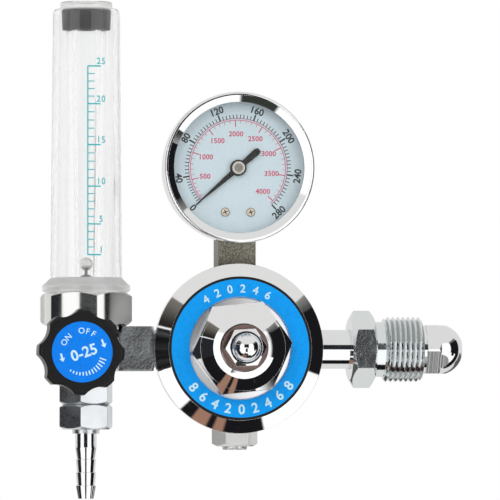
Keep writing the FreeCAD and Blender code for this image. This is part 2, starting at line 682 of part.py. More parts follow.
def inlet_nipple():
    """The stem with its bullet nose. The nose is turned from the hexagon bar that its flats show."""
    flange_end = THREAD_END + THREAD_CHAMFER + 2 * SLIP + NOSE_FLANGE_THICKNESS
    nose_start = flange_end - NOSE_FLANGE_THICKNESS
    stem = turned(
        [
            (0, PORT_REACH - PORT_DEPTH + PORT_THREAD_GAP),
            (PORT_THREAD_RADIUS - SLIP, PORT_REACH - PORT_DEPTH + PORT_THREAD_GAP),
            (PORT_THREAD_RADIUS - SLIP, PORT_REACH),
            (STEM_RADIUS, PORT_REACH),
            (STEM_RADIUS, nose_start),
            (NOSE_HEX / 2, nose_start),
            (NOSE_HEX / 2, flange_end),
            (0, flange_end),
        ]
    )
    corner = NOSE_HEX / 2 / math.cos(math.pi / 6)
    tip_angle = math.asin((NOSE_TIP - NOSE_BALL_CENTRE) / NOSE_BALL_RADIUS)
    dome = turned(
        [
            (0, flange_end),
            (corner, flange_end),
            (corner, NOSE_BALL_CENTRE - (corner - NOSE_BALL_RADIUS)),
            (NOSE_BALL_RADIUS, NOSE_BALL_CENTRE),
            crown(NOSE_BALL_RADIUS, NOSE_BALL_CENTRE, 0, tip_angle),
            (0, NOSE_TIP),
        ]
    )
    nose = prism(NOSE_HEX, flange_end, NOSE_TIP, turn=30).common(dome)
    nipple = stem.fuse(nose).cut(rod(INLET_BORE_RADIUS, 0, NOSE_TIP + 1))
    pocket = PORT_REACH - PORT_DEPTH + PORT_THREAD_GAP
    nipple = nipple.cut(rod(FILTER_RADIUS + SLIP, pocket, pocket + FILTER_LENGTH + SLIP))
    return place(nipple, CENTRE, RIGHTWARD)


def inlet_nut():
    """The union nut: a spanner hexagon, a relief neck and the male thread, bored to turn on the stem."""
    hexagon = bevelled_prism(NUT_HEX, NUT_START, NUT_HEX_END, share=0.93)
    crest = THREAD_RADIUS - THREAD_CHAMFER
    barrel = turned(
        [
            (0, NUT_HEX_END),
            (NUT_NECK_RADIUS, NUT_HEX_END),
            (NUT_NECK_RADIUS, NUT_NECK_END),
            (crest, NUT_NECK_END),
            (THREAD_RADIUS, NUT_NECK_END + THREAD_CHAMFER),
            (THREAD_RADIUS, THREAD_END),
            (crest, THREAD_END + THREAD_CHAMFER),
            (0, THREAD_END + THREAD_CHAMFER),
        ]
    )
    nut = hexagon.fuse(barrel).cut(rod(STEM_RADIUS + PLAY, NUT_START, THREAD_END + THREAD_CHAMFER))
    return place(nut, CENTRE, RIGHTWARD)


def inlet_filter():
    start = PORT_REACH - PORT_DEPTH + PORT_THREAD_GAP
    return rod(FILTER_RADIUS, start, start + FILTER_LENGTH, CENTRE, RIGHTWARD)


# The pressure gauge


def gauge_case():
    """A drawn steel cup, open in front, with a square hole where the socket comes through."""
    inner = CASE_RADIUS - CASE_WALL
    corner_in = CASE_CORNER - CASE_WALL
    bend = 1 - math.sqrt(0.5)
    outline = [
        (0, CASE_BACK),
        (CASE_RADIUS - CASE_CORNER, CASE_BACK),
        (
            (CASE_RADIUS - CASE_CORNER * bend, CASE_BACK + CASE_CORNER * bend),
            (CASE_RADIUS, CASE_BACK + CASE_CORNER),
        ),
        (CASE_RADIUS, CASE_FRONT),
        (inner, CASE_FRONT),
        (inner, CASE_BACK + CASE_CORNER),
        (
            (inner - corner_in * bend, CASE_BACK + CASE_WALL + corner_in * bend),
            (inner - corner_in, CASE_BACK + CASE_WALL),
        ),
        (0, CASE_BACK + CASE_WALL),
    ]
    cup = turned(outline, GAUGE, FORWARD)
    hole = SOCKET_SQUARE + 2 * SLIP
    return cup.cut(Part.makeBox(hole, hole, CASE_RADIUS, Vector(-hole / 2, -hole / 2, PORT_REACH)))


def gauge_bezel():
    """The rolled front ring that holds the window against the case."""
    lip = CASE_FRONT + LENS_THICKNESS + 2 * SLIP
    crest = BEZEL_RADIUS - 0.9
    outline = [
        (CASE_RADIUS + SLIP, BEZEL_BACK),
        (BEZEL_RADIUS, BEZEL_BACK),
        (BEZEL_RADIUS, BEZEL_FRONT - 0.9),
        ((BEZEL_RADIUS - 0.26, BEZEL_FRONT - 0.26), (crest, BEZEL_FRONT)),
        (crest - 0.3, BEZEL_FRONT),
        (BEZEL_WINDOW_RADIUS, lip + 0.2),
        (BEZEL_WINDOW_RADIUS, lip),
        (CASE_RADIUS + SLIP, lip),
    ]
    return turned(outline, GAUGE, FORWARD)


def gauge_lens():
    return rod(CASE_RADIUS - 0.1, CASE_FRONT + SLIP, CASE_FRONT + SLIP + LENS_THICKNESS, GAUGE, FORWARD)


def gauge_dial():
    plate = rod(DIAL_RADIUS, DIAL_FACE - DIAL_THICKNESS, DIAL_FACE)
    plate = plate.cut(rod(ARBOR_RADIUS + 1, DIAL_FACE - DIAL_THICKNESS, DIAL_FACE))
    for side in (-1, 1):
        hole = rod(DIAL_SCREW_RADIUS + SLIP, DIAL_FACE - DIAL_THICKNESS, DIAL_FACE)
        hole.translate(Vector(side * DIAL_SCREW_SPREAD, -DIAL_SCREW_DROP, 0))
        plate = plate.cut(hole)
    return place(plate, GAUGE, FORWARD)


def dial_screws():
    """Two cross-headed screws, as one group."""
    screws = []
    for side in (-1, 1):
        head = turned(
            [
                (0, SOCKET_BLOCK_BACK + 8),
                (DIAL_SCREW_RADIUS, SOCKET_BLOCK_BACK + 8),
                (DIAL_SCREW_RADIUS, DIAL_FACE),
                (DIAL_SCREW_HEAD_RADIUS, DIAL_FACE),
                (DIAL_SCREW_HEAD_RADIUS, DIAL_FACE + 0.3),
                (DIAL_SCREW_HEAD_RADIUS - 0.35, DIAL_FACE + 0.6),
                (0, DIAL_FACE + 0.6),
            ]
        )
        for turn in (20, 110):
            slot = Part.makeBox(1.8, 0.4, 1.0, Vector(-0.9, -0.2, DIAL_FACE + 0.25))
            slot.rotate(Vector(0, 0, 0), UPWARD, turn)
            head = head.cut(slot)
        head.translate(Vector(side * DIAL_SCREW_SPREAD, -DIAL_SCREW_DROP, 0))
        screws.append(place(head, GAUGE, FORWARD))
    return Part.makeCompound(screws)


def gauge_socket():
    """The square brass stem, its thread into the top port, and the block that carries the works."""
    half = SOCKET_SQUARE / 2
    stem_top = GAUGE_HEIGHT - CASE_RADIUS + 2
    stem = Part.makeBox(SOCKET_SQUARE, SOCKET_SQUARE, stem_top - PORT_REACH, Vector(-half, -half, PORT_REACH))
    wide = SOCKET_BLOCK_HALF_WIDTH
    front = DIAL_FACE - DIAL_THICKNESS - SLIP
    block_bottom = GAUGE_HEIGHT - CASE_RADIUS
    block_height = GAUGE_HEIGHT + SOCKET_BLOCK_TOP - block_bottom
    block_depth = front - SOCKET_BLOCK_BACK
    block = Part.makeBox(2 * wide, block_depth, block_height, Vector(-wide, -front, block_bottom))
    inside = rod(CASE_RADIUS - CASE_WALL - SLIP, CASE_BACK, CASE_FRONT, GAUGE, FORWARD)
    thread = rod(PORT_THREAD_RADIUS - SLIP, PORT_REACH - PORT_DEPTH + PORT_THREAD_GAP, PORT_REACH)
    socket = stem.fuse(block.common(inside)).fuse(thread)
    sleeve = flat_loop(-SLIP, TUBE_ROOT_ANGLE - 20, 20.2)
    socket = socket.cut(place(sleeve, GAUGE, FORWARD))
    cross = GAUGE + Vector(0, 0, polar(TUBE_LOOP_RADIUS, TUBE_ROOT_ANGLE).y)
    socket = socket.cut(rod(GAS_HOLE_RADIUS, 0, cross.z + 0.5))
    socket = socket.cut(rod(0.6, 0, SOCKET_BLOCK_HALF_WIDTH - 0.5, cross, LEFTWARD))
    for side in (-1, 1):
        mouth = Vector(side * DIAL_SCREW_SPREAD, 0, GAUGE_HEIGHT - DIAL_SCREW_DROP)
        socket = socket.cut(rod(DIAL_SCREW_RADIUS + SLIP, SOCKET_BLOCK_BACK + 7.5, front, mouth, FORWARD))
    return socket


def bourdon_tube():
    """The flattened tube bent round the works, with a closed tip and the lug that pulls the link."""
    sweep = TUBE_ROOT_ANGLE - TUBE_TIP_ANGLE
    tube = flat_loop(0, TUBE_TIP_ANGLE, sweep)
    tube = tube.cut(flat_loop(TUBE_LOOP_WALL, TUBE_TIP_ANGLE + 2, sweep))
    inner_face = TUBE_LOOP_RADIUS - TUBE_LOOP_THICKNESS / 2
    lug = Part.makeBox(inner_face + 0.2 - TIP_PIN_RADIUS, 1.8, 1.0, Vector(TIP_PIN_RADIUS, -0.9, 0))
    lug = lug.fuse(Part.makeCylinder(0.9, 1.0, Vector(TIP_PIN_RADIUS, 0, 0)))
    lug = lug.fuse(Part.makeCylinder(LINK_PIN_RADIUS, LINK_FRONT, Vector(TIP_PIN_RADIUS, 0, 0)))
    lug.rotate(Vector(0, 0, 0), UPWARD, TIP_PIN_ANGLE)
    return place(tube.fuse(lug), GAUGE, FORWARD)


def flat_loop(inset, start, angle):
    """Part of the flattened tube's bend about the gauge's axis, smaller all round by the inset."""
    half_wide = TUBE_LOOP_WIDTH / 2 - inset
    low_r = TUBE_LOOP_RADIUS - TUBE_LOOP_THICKNESS / 2 + inset
    high_r = TUBE_LOOP_RADIUS + TUBE_LOOP_THICKNESS / 2 - inset
    corners = [(low_r, -1), (high_r, -1), (high_r, 1), (low_r, 1), (low_r, -1)]
    section = Part.Face(Part.makePolygon([Vector(r, 0, side * half_wide) for r, side in corners]))
    section.rotate(Vector(0, 0, 0), UPWARD, start)
    return section.revolve(Vector(0, 0, 0), UPWARD, angle)


def sector_pivot():
    """Where the sector turns, straight below the pointer: one centre distance of the gear pair."""
    return Vector(0, -GEAR_MODULE * (PINION_TEETH + SECTOR_TEETH) / 2, 0)


def gear_outline(teeth, first, count, tip_share=0.9, root_share=1.25):
    """Points along straight-sided teeth about the origin, from the first tooth, as (radius, angle)."""
    pitch_radius = GEAR_MODULE * teeth / 2
    pitch_angle = 2 * math.pi / teeth
    tip = pitch_radius + tip_share * GEAR_MODULE
    root = pitch_radius - root_share * GEAR_MODULE
    points = []
    for k in range(count):
        middle = (first + k) * pitch_angle
        for radius, offset in ((root, -0.31), (tip, -0.09), (tip, 0.09), (root, 0.31)):
            points.append((radius, middle + offset * pitch_angle))
    return points


def polar_wire(points):
    corners = [Vector(r * math.cos(a), r * math.sin(a), 0) for r, a in points]
    return Part.makePolygon(corners + [corners[0]])


def sector_gear():
    """The toothed fan, its pivot shaft and the tail whose pin takes the link."""
    rest_turn = math.radians(90)
    pitch_angle = 2 * math.pi / SECTOR_TEETH
    first = round(rest_turn / pitch_angle) - SECTOR_CUT_TEETH + 1.5
    points = gear_outline(SECTOR_TEETH, first, SECTOR_CUT_TEETH)
    hub = 1.3
    low, high = points[0][1], points[-1][1]
    fan = Part.Face(polar_wire([(hub * 0.6, (low + high) / 2 + math.pi)] + points))
    fan = fan.extrude(Vector(0, 0, SECTOR_FRONT - SECTOR_BACK))
    fan.translate(Vector(0, 0, SECTOR_BACK))
    middle = (low + high) / 2
    window = turned([(4.2, 0), (8.6, 0), (8.6, 6), (4.2, 6)])
    keep = Part.Face(polar_wire([(0, 0), (14, low + 0.17), (14, middle), (14, high - 0.17)]))
    keep = keep.extrude(Vector(0, 0, 6))
    fan = fan.cut(window.common(keep))
    fan = fan.fuse(rod(hub, SECTOR_BACK, SECTOR_FRONT))
    tail_pin = polar(TAIL_RADIUS, TAIL_ANGLE)
    thickness = SECTOR_FRONT - SECTOR_BACK
    tail = Part.makeBox(TAIL_RADIUS, TAIL_WIDTH, thickness, Vector(0, -TAIL_WIDTH / 2, SECTOR_BACK))
    tail.rotate(Vector(0, 0, 0), UPWARD, TAIL_ANGLE)
    eye = Part.makeCylinder(TAIL_EYE_RADIUS, thickness, tail_pin + Vector(0, 0, SECTOR_BACK))
    pin_length = SECTOR_BACK - LINK_BACK + 0.2
    pin = Part.makeCylinder(LINK_PIN_RADIUS, pin_length, tail_pin + Vector(0, 0, LINK_BACK))
    shaft = rod(ARBOR_RADIUS, PLATE_BACK, PLATE_FRONT + MOVEMENT_PLATE)
    gear = fan.fuse(tail).fuse(eye).fuse(pin).fuse(shaft)
    gear.translate(sector_pivot())
    return place(gear, GAUGE, FORWARD)


def tip_link():
    """The flat link from the tube's tip to the sector's tail."""
    tail_pin = sector_pivot() + polar(TAIL_RADIUS, TAIL_ANGLE)
    tip_pin = polar(TIP_PIN_RADIUS, TIP_PIN_ANGLE)
    along = tail_pin - tip_pin
    thickness = LINK_FRONT - LINK_BACK
    bar = Part.makeBox(along.Length, LINK_WIDTH, thickness, Vector(0, -LINK_WIDTH / 2, LINK_BACK))
    bar.rotate(Vector(0, 0, 0), UPWARD, math.degrees(math.atan2(along.y, along.x)))
    bar.translate(tip_pin)
    for pin in (tail_pin, tip_pin):
        bar = bar.fuse(Part.makeCylinder(LINK_EYE_RADIUS, thickness, pin + Vector(0, 0, LINK_BACK)))
    for pin in (tail_pin, tip_pin):
        bar = bar.cut(Part.makeCylinder(LINK_PIN_RADIUS + SLIP, LINK_FRONT, pin))
    return place(bar, GAUGE, FORWARD)


def movement_frame():
    """Two plates on three pillars. Their feet stand on the socket block."""
    bottom = SOCKET_BLOCK_TOP
    top = 4.4
    half = 4.2

    def plate(back):
        sheet = Part.makeBox(2 * half, top - bottom, MOVEMENT_PLATE, Vector(-half, bottom, back))
        for pivot in (Vector(0, 0, 0), sector_pivot()):
            foot = pivot + Vector(0, 0, back)
            sheet = sheet.cut(Part.makeCylinder(ARBOR_RADIUS + SLIP, MOVEMENT_PLATE, foot))
        return sheet

    frame = plate(PLATE_BACK).fuse(plate(PLATE_FRONT))
    gap = PLATE_FRONT - PLATE_BACK
    for x, z in ((-3.3, top - 0.9), (3.3, top - 0.9), (-3.3, bottom + 0.8)):
        frame = frame.fuse(Part.makeCylinder(0.8, gap, Vector(x, z, PLATE_BACK)))
    return place(frame, GAUGE, FORWARD)


def pointer_arbor():
    """The shaft that carries the pointer, with its pinion and the hairspring's collar."""
    shaft = rod(ARBOR_RADIUS, PLATE_BACK, POINTER_FACE + 0.4)
    teeth = gear_outline(PINION_TEETH, 0, PINION_TEETH)
    quarter = -math.pi / 2
    teeth = [(r, a + quarter) for r, a in teeth]
    pinion = Part.Face(polar_wire(teeth)).extrude(Vector(0, 0, PINION_FRONT - PINION_BACK))
    pinion.translate(Vector(0, 0, PINION_BACK))
    collar = rod(COLLAR_RADIUS, PINION_FRONT, PLATE_FRONT - 0.2)
    return place(shaft.fuse(pinion).fuse(collar), GAUGE, FORWARD)


def hairspring():
    """A flat spiral strip round the arbor's collar, wound as half circles about two centres."""
    inner = COLLAR_RADIUS + SLIP
    step = (HAIRSPRING_OUTER_RADIUS - inner) / (2 * HAIRSPRING_TURNS)

    def half_turns(extra):
        edges = []
        x = inner + extra
        radius = inner + extra
        centre = 0.0
        side = 1
        for _ in range(2 * HAIRSPRING_TURNS):
            start = Vector(centre + side * radius, 0, 0)
            through = Vector(centre, side * radius, 0)
            end = Vector(centre - side * radius, 0, 0)
            edges.append(Part.Arc(start, through, end).toShape())
            radius += step
            centre += side * step
            side = -side
        return edges

    inside = half_turns(0)
    outside = half_turns(HAIRSPRING_STRIP)
    ends = [
        Part.LineSegment(inside[0].firstVertex(True).Point, outside[0].firstVertex(True).Point).toShape(),
        Part.LineSegment(inside[-1].lastVertex(True).Point, outside[-1].lastVertex(True).Point).toShape(),
    ]
    outline = Part.Wire(Part.__sortEdges__(inside + outside + ends))
    strip = Part.Face(outline).extrude(Vector(0, 0, HAIRSPRING_WIDTH))
    strip.translate(Vector(0, 0, PINION_FRONT + 0.6))
    return place(strip, GAUGE, FORWARD)


def gauge_pointer():
    """The needle with its counterweight, on a round hub pressed on the arbor."""
    back = POINTER_FACE - POINTER_THICKNESS
    blade = [
        (POINTER_LENGTH, 0.12),
        (POINTER_HUB_RADIUS, 0.95),
        (-POINTER_HUB_RADIUS, 1.0),
        (-POINTER_TAIL + 1.2, 1.25),
        (-POINTER_TAIL, 0.8),
    ]
    upper = [Vector(x, y, back) for x, y in blade]
    lower = [Vector(x, -y, back) for x, y in reversed(blade)]
    outline = Part.makePolygon(upper + lower + [upper[0]])
    needle = Part.Face(outline).extrude(Vector(0, 0, POINTER_THICKNESS))
    needle.rotate(Vector(0, 0, 0), UPWARD, POINTER_REST)
    hub = turned(
        [
            (0, DIAL_FACE + 0.3),
            (POINTER_HUB_RADIUS, DIAL_FACE + 0.3),
            (POINTER_HUB_RADIUS, POINTER_FACE + 0.3),
            (POINTER_HUB_RADIUS - 0.3, POINTER_FACE + 0.6),
            (0, POINTER_FACE + 0.6),
        ]
    )
    solid = needle.fuse(hub).cut(rod(ARBOR_RADIUS + 0.02, DIAL_FACE, POINTER_FACE + 0.4 + SLIP))
    return place(solid, GAUGE, FORWARD)


# The outlet block and the flowmeter


def outlet_block():
    """The square forged adapter between the regulator and the flowmeter, threaded at both ends."""
    length_start, length_end = -BLOCK_RIGHT, -BLOCK_LEFT
    solid = bevelled_prism(BLOCK_SQUARE, length_start, length_end, sides=4, share=1.12)
    solid = solid.fuse(rod(BLOCK_COLLAR_RADIUS, PORT_REACH, length_start))
    solid = solid.fuse(rod(PORT_THREAD_RADIUS - SLIP, PORT_REACH - PORT_DEPTH + 3, PORT_REACH))
    solid = solid.fuse(rod(PORT_THREAD_RADIUS - SLIP, length_end, length_end + BLOCK_THREAD_LENGTH))
    solid = solid.cut(rod(GAS_HOLE_RADIUS + 0.5, 0, length_end + BLOCK_THREAD_LENGTH))
    return place(solid, CENTRE, LEFTWARD)


def valve_body():
    """The flowmeter's forging: a round barrel with a port to the block and a boss for the needle valve."""
    barrel = turned(
        [
            (0, VALVE_BODY_BOTTOM),
            (VALVE_BODY_RADIUS - 3, VALVE_BODY_BOTTOM),
            (VALVE_BODY_RADIUS, VALVE_BODY_BOTTOM + 2 * VALVE_BODY_CORNER),
            (VALVE_BODY_RADIUS, VALVE_BODY_TOP - VALVE_BODY_CORNER),
            (VALVE_BODY_RADIUS - VALVE_BODY_CORNER, VALVE_BODY_TOP),
            (0, VALVE_BODY_TOP),
        ],
        FLOW,
    )
    side_reach = BLOCK_LEFT - FLOW_AXIS - SLIP
    body = barrel.fuse(rod(VALVE_SIDE_BOSS_RADIUS, 0, side_reach, FLOW, RIGHTWARD))
    boss = turned(
        [
            (0, 0),
            (VALVE_BOSS_RADIUS, 0),
            (VALVE_BOSS_RADIUS, VALVE_BOSS_FRONT - 0.6),
            (VALVE_BOSS_RADIUS - 0.6, VALVE_BOSS_FRONT),
            (0, VALVE_BOSS_FRONT),
        ],
        VALVE,
        FORWARD,
    )
    body = body.fuse(boss)
    top_bore = VALVE_BODY_TOP - BASE_SPIGOT_LENGTH - SLIP
    body = body.cut(rod(BASE_SPIGOT_RADIUS, top_bore, VALVE_BODY_TOP, FLOW))
    side_bore = side_reach - BLOCK_THREAD_LENGTH - LOOSE
    body = body.cut(rod(PORT_THREAD_RADIUS, side_bore, side_reach, FLOW, RIGHTWARD))
    body = body.cut(rod(GAS_HOLE_RADIUS, 0, side_reach, FLOW, RIGHTWARD))
    foot_bore = VALVE_BODY_BOTTOM + UNION_SPIGOT_LENGTH + SLIP
    body = body.cut(rod(UNION_SPIGOT_RADIUS, VALVE_BODY_BOTTOM, foot_bore, FLOW))
    body = body.cut(rod(SPINDLE_THREAD_RADIUS + SLIP, VALVE_BORE_BACK, PACKING_BACK, VALVE, FORWARD))
    body = body.cut(rod(GLAND_SPIGOT_RADIUS + SLIP, PACKING_BACK, VALVE_BOSS_FRONT, VALVE, FORWARD))
    body = body.cut(rod(VALVE_SEAT_RADIUS, -RETURN_HOLE_BACK, VALVE_BORE_BACK, VALVE, FORWARD))
    up_hole = Vector(FLOW_AXIS + UP_HOLE_OFFSET, 0, 0)
    body = body.cut(rod(UP_HOLE_RADIUS, 0, VALVE_BODY_TOP, up_hole))
    return_hole = Vector(VALVE_X, RETURN_HOLE_BACK, 0)
    body = body.cut(rod(RETURN_HOLE_RADIUS, VALVE_Z, VALVE_BODY_TOP, return_hole))
    out_hole = at_front(VALVE_BORE_BACK + OUT_HOLE_RADIUS, VALVE_X)
    return body.cut(rod(OUT_HOLE_RADIUS, VALVE_BODY_BOTTOM, VALVE_Z, out_hole))


def tube_base():
    """The hexagonal base that the clear cover screws into, with its spigot in the valve body."""
    solid = bevelled_prism(BASE_HEX, VALVE_BODY_TOP, BASE_HEX_TOP, turn=BASE_TURN, share=0.95)
    solid = solid.fuse(rod(BASE_SPIGOT_RADIUS - SLIP, VALVE_BODY_TOP - BASE_SPIGOT_LENGTH, VALVE_BODY_TOP))
    solid = solid.cut(rod(BASE_BORE_RADIUS, BASE_FLOOR, BASE_HEX_TOP))
    solid = solid.cut(rod(BASE_GAS_RADIUS, -BASE_SPIGOT_LENGTH, BASE_FLOOR))
    return_hole = Vector(VALVE_X - FLOW_AXIS, RETURN_HOLE_BACK, 0)
    solid = solid.cut(rod(RETURN_HOLE_RADIUS, VALVE_BODY_TOP, BASE_FLOOR, return_hole))
    solid.translate(FLOW)
    return solid


def flow_cover():
    """The clear moulded cover: a threaded spigot, a flange, a slightly drafted barrel and a closed cap."""
    inner_foot = COVER_FOOT_RADIUS - COVER_WALL
    inner_head = COVER_HEAD_RADIUS - COVER_WALL
    bend = COVER_CORNER * (1 - math.sqrt(0.5))
    flange_top = BASE_HEX_TOP + COVER_FLANGE_HEIGHT
    outline = [
        (COVER_SPIGOT_BORE, COVER_SPIGOT_BOTTOM),
        (BASE_BORE_RADIUS - SLIP, COVER_SPIGOT_BOTTOM),
        (BASE_BORE_RADIUS - SLIP, BASE_HEX_TOP),
        (COVER_FLANGE_RADIUS - 0.5, BASE_HEX_TOP),
        (COVER_FLANGE_RADIUS, BASE_HEX_TOP + 0.5),
        (COVER_FLANGE_RADIUS, flange_top),
        (COVER_FLANGE_RADIUS - 0.8, flange_top + 0.6),
        (COVER_FOOT_RADIUS, COVER_FOOT),
        (COVER_HEAD_RADIUS, COVER_SHOULDER - COVER_CORNER),
        (
            (COVER_HEAD_RADIUS - bend, COVER_SHOULDER - bend),
            (COVER_HEAD_RADIUS - COVER_CORNER, COVER_SHOULDER),
        ),
        (COVER_CAP_RADIUS, COVER_SHOULDER),
        (COVER_CAP_RADIUS, COVER_CAP_TOP - 0.4),
        (COVER_CAP_RADIUS - 0.4, COVER_CAP_TOP),
        (0, COVER_CAP_TOP),
        (0, COVER_CEILING),
        (inner_head - 0.2, COVER_CEILING),
        (inner_head, COVER_CEILING - 0.5),
        (inner_foot, COVER_FOOT),
        (COVER_SPIGOT_BORE, BASE_HEX_TOP),
    ]
    return turned(outline, FLOW)


def metering_tube():
    """The thick clear tube with the tapered bore that the float rises in."""
    bottom = BASE_FLOOR + GASKET_THICKNESS
    outline = [
        (TUBE_FOOT_BORE, bottom),
        (TUBE_RADIUS, bottom),
        (TUBE_RADIUS, TUBE_TOP),
        (TUBE_HEAD_BORE, TUBE_TOP),
        (TUBE_FOOT_BORE, TUBE_TAPER_START),
    ]
    return turned(outline, FLOW)


def tube_gasket():
    return ring(TUBE_RADIUS, STOP_RADIUS + LOOSE, BASE_FLOOR, BASE_FLOOR + GASKET_THICKNESS, FLOW)


def top_seal():
    """The rubber bung that centres the metering tube's top end in the cover."""
    pocket = TUBE_RADIUS + 0.02
    outline = [
        (pocket, SEAL_BOTTOM),
        (SEAL_BOTTOM_RADIUS, SEAL_BOTTOM),
        (SEAL_TOP_RADIUS, COVER_CEILING),
        (TUBE_HEAD_BORE, COVER_CEILING),
        (TUBE_HEAD_BORE, TUBE_TOP + SLIP),
        (pocket, TUBE_TOP + SLIP),
    ]
    bung = turned(outline)
    for turn in (0, 60, 120):
        corner = Vector(-SEAL_TOP_RADIUS, -1.0, COVER_CEILING - 1.0)
        notch = Part.makeBox(2 * SEAL_TOP_RADIUS, 2.0, 1.0, corner)
        notch.rotate(Vector(0, 0, 0), UPWARD, turn)
        bung = bung.cut(notch)
    bung.translate(FLOW)
    return bung


def float_stop():
    """The brass plug under the float: a domed head with gas slots, and the pin that the float rests on."""
    foot_angle = math.acos(STOP_RADIUS / STOP_DOME_RADIUS)
    pin_angle = math.acos(STOP_PIN_RADIUS / STOP_DOME_RADIUS)
    dome_centre = STOP_SHOULDER - STOP_DOME_RADIUS * math.sin(foot_angle)
    outline = [
        (0, BASE_FLOOR),
        (STOP_RADIUS, BASE_FLOOR),
        (STOP_RADIUS, STOP_SHOULDER),
        crown(STOP_DOME_RADIUS, dome_centre, foot_angle, pin_angle),
        (STOP_PIN_RADIUS, STOP_PIN_TOP),
        (0, STOP_PIN_TOP),
    ]
    plug = turned(outline)
    reach = 2 * STOP_RADIUS
    for turn in (0, 90):
        slot = Part.makeBox(reach, STOP_SLOT, STOP_SLOT, Vector(-STOP_RADIUS, -STOP_SLOT / 2, BASE_FLOOR))
        slot.rotate(Vector(0, 0, 0), UPWARD, turn)
        plug = plug.cut(slot)
    for turn in (30, 150, 270):
        flat = Part.makeBox(reach, reach, STOP_PIN_TOP, Vector(STOP_RADIUS * 0.82, -STOP_RADIUS, BASE_FLOOR))
        flat.rotate(Vector(0, 0, 0), UPWARD, turn)
        plug = plug.cut(flat)
    plug.translate(FLOW)
    return plug


def float_ball():
    return Part.makeSphere(BALL_RADIUS, FLOW + Vector(0, 0, STOP_PIN_TOP + BALL_RADIUS))


# The needle valve


def valve_spindle():
    """The stem that the knob turns: a needle, the lifting thread and a plain shank through the gland."""
    outline = [
        (0, NEEDLE_TIP),
        (NEEDLE_TIP_RADIUS, NEEDLE_TIP),
        (NEEDLE_ROOT_RADIUS, SPINDLE_THREAD_BACK),
        (SPINDLE_THREAD_RADIUS, SPINDLE_THREAD_BACK),
        (SPINDLE_THREAD_RADIUS, SPINDLE_THREAD_FRONT),
        (SPINDLE_STEM_RADIUS, SPINDLE_THREAD_FRONT),
        (SPINDLE_STEM_RADIUS, SPINDLE_END),
        (0, SPINDLE_END),
    ]
    return turned(outline, VALVE, FORWARD)


def valve_packing():
    hole = SPINDLE_STEM_RADIUS + SLIP
    return ring(GLAND_SPIGOT_RADIUS, hole, PACKING_BACK, GLAND_SPIGOT_BACK, VALVE, FORWARD)


def valve_gland():
    front = VALVE_BOSS_FRONT + GLAND_HEX_HEIGHT
    hexagon = bevelled_prism(GLAND_HEX, VALVE_BOSS_FRONT, front, turn=GLAND_TURN, ends=(False, True))
    gland = hexagon.fuse(rod(GLAND_SPIGOT_RADIUS, GLAND_SPIGOT_BACK, VALVE_BOSS_FRONT))
    hole = SPINDLE_STEM_RADIUS + SLIP
    gland = gland.cut(rod(hole, GLAND_SPIGOT_BACK, front))
    return place(gland, VALVE, FORWARD)


def flow_knob():
    """A moulded hand knob with scalloped sides, hollow behind round its hub."""
    outline = [
        (0, KNOB_BACK),
        (KNOB_RADIUS - 0.6, KNOB_BACK),
        (KNOB_RADIUS, KNOB_BACK + 0.6),
        (KNOB_RADIUS, KNOB_FRONT - 1.6),
        ((KNOB_RADIUS - 0.45, KNOB_FRONT - 0.5), (KNOB_RADIUS - 1.6, KNOB_FRONT)),
        (0, KNOB_FRONT),
    ]
    knob = turned(outline)
    scallop_reach = KNOB_WAIST_RADIUS + SCALLOP_RADIUS
    for k in range(KNOB_LOBES):
        angle = math.radians(KNOB_TURN + 360 / KNOB_LOBES * (k + 0.5))
        middle = Vector(scallop_reach * math.cos(angle), scallop_reach * math.sin(angle), KNOB_BACK)
        knob = knob.cut(Part.makeCylinder(SCALLOP_RADIUS, KNOB_FRONT - KNOB_BACK, middle))
    knob = knob.cut(ring(KNOB_CAVITY_RADIUS, KNOB_HUB_RADIUS, KNOB_BACK, KNOB_CAVITY_FRONT))
    knob = knob.cut(rod(KNOB_CAVITY_RADIUS, KNOB_BACK, KNOB_HUB_BACK))
    knob = knob.cut(rod(KNOB_LABEL_RADIUS + SLIP, KNOB_FRONT - KNOB_LABEL_RECESS, KNOB_FRONT))
    knob = knob.cut(rod(SPINDLE_STEM_RADIUS + SLIP, KNOB_BACK, SPINDLE_END + SLIP))
    return place(knob, VALVE, FORWARD)


def knob_label():
    seat = KNOB_FRONT - KNOB_LABEL_RECESS
    return rod(KNOB_LABEL_RADIUS, seat, seat + KNOB_LABEL_THICKNESS, VALVE, FORWARD)


# The hose connection


def outlet_union():
    top = VALVE_BODY_BOTTOM
    solid = bevelled_prism(HOSE_HEX, UNION_BOTTOM, top, turn=HOSE_HEX_TURN)
    solid = solid.fuse(rod(UNION_SPIGOT_RADIUS - SLIP, top, top + UNION_SPIGOT_LENGTH))
    solid = solid.fuse(rod(UNION_THREAD_RADIUS, UNION_THREAD_BOTTOM, UNION_BOTTOM))
    solid = solid.cut(rod(TAIL_BORE_RADIUS, UNION_THREAD_BOTTOM, top + UNION_SPIGOT_LENGTH))
    solid.translate(FLOW)
    return solid


def hose_nut():
    """The union nut that holds the hose tail up against the union."""
    top = UNION_BOTTOM - SLIP
    lip = HOSE_NUT_BOTTOM + HOSE_NUT_LIP
    solid = bevelled_prism(HOSE_HEX, HOSE_NUT_BOTTOM, top, turn=HOSE_HEX_TURN, share=0.93)
    solid = solid.fuse(rod(HOSE_NUT_NOSE_RADIUS, HOSE_NUT_NOSE, HOSE_NUT_BOTTOM))
    solid = solid.cut(rod(HOSE_NUT_HOLE_RADIUS, HOSE_NUT_NOSE, lip))
    solid = solid.cut(rod(UNION_THREAD_RADIUS + SLIP, lip, top))
    solid.translate(FLOW)
    return solid


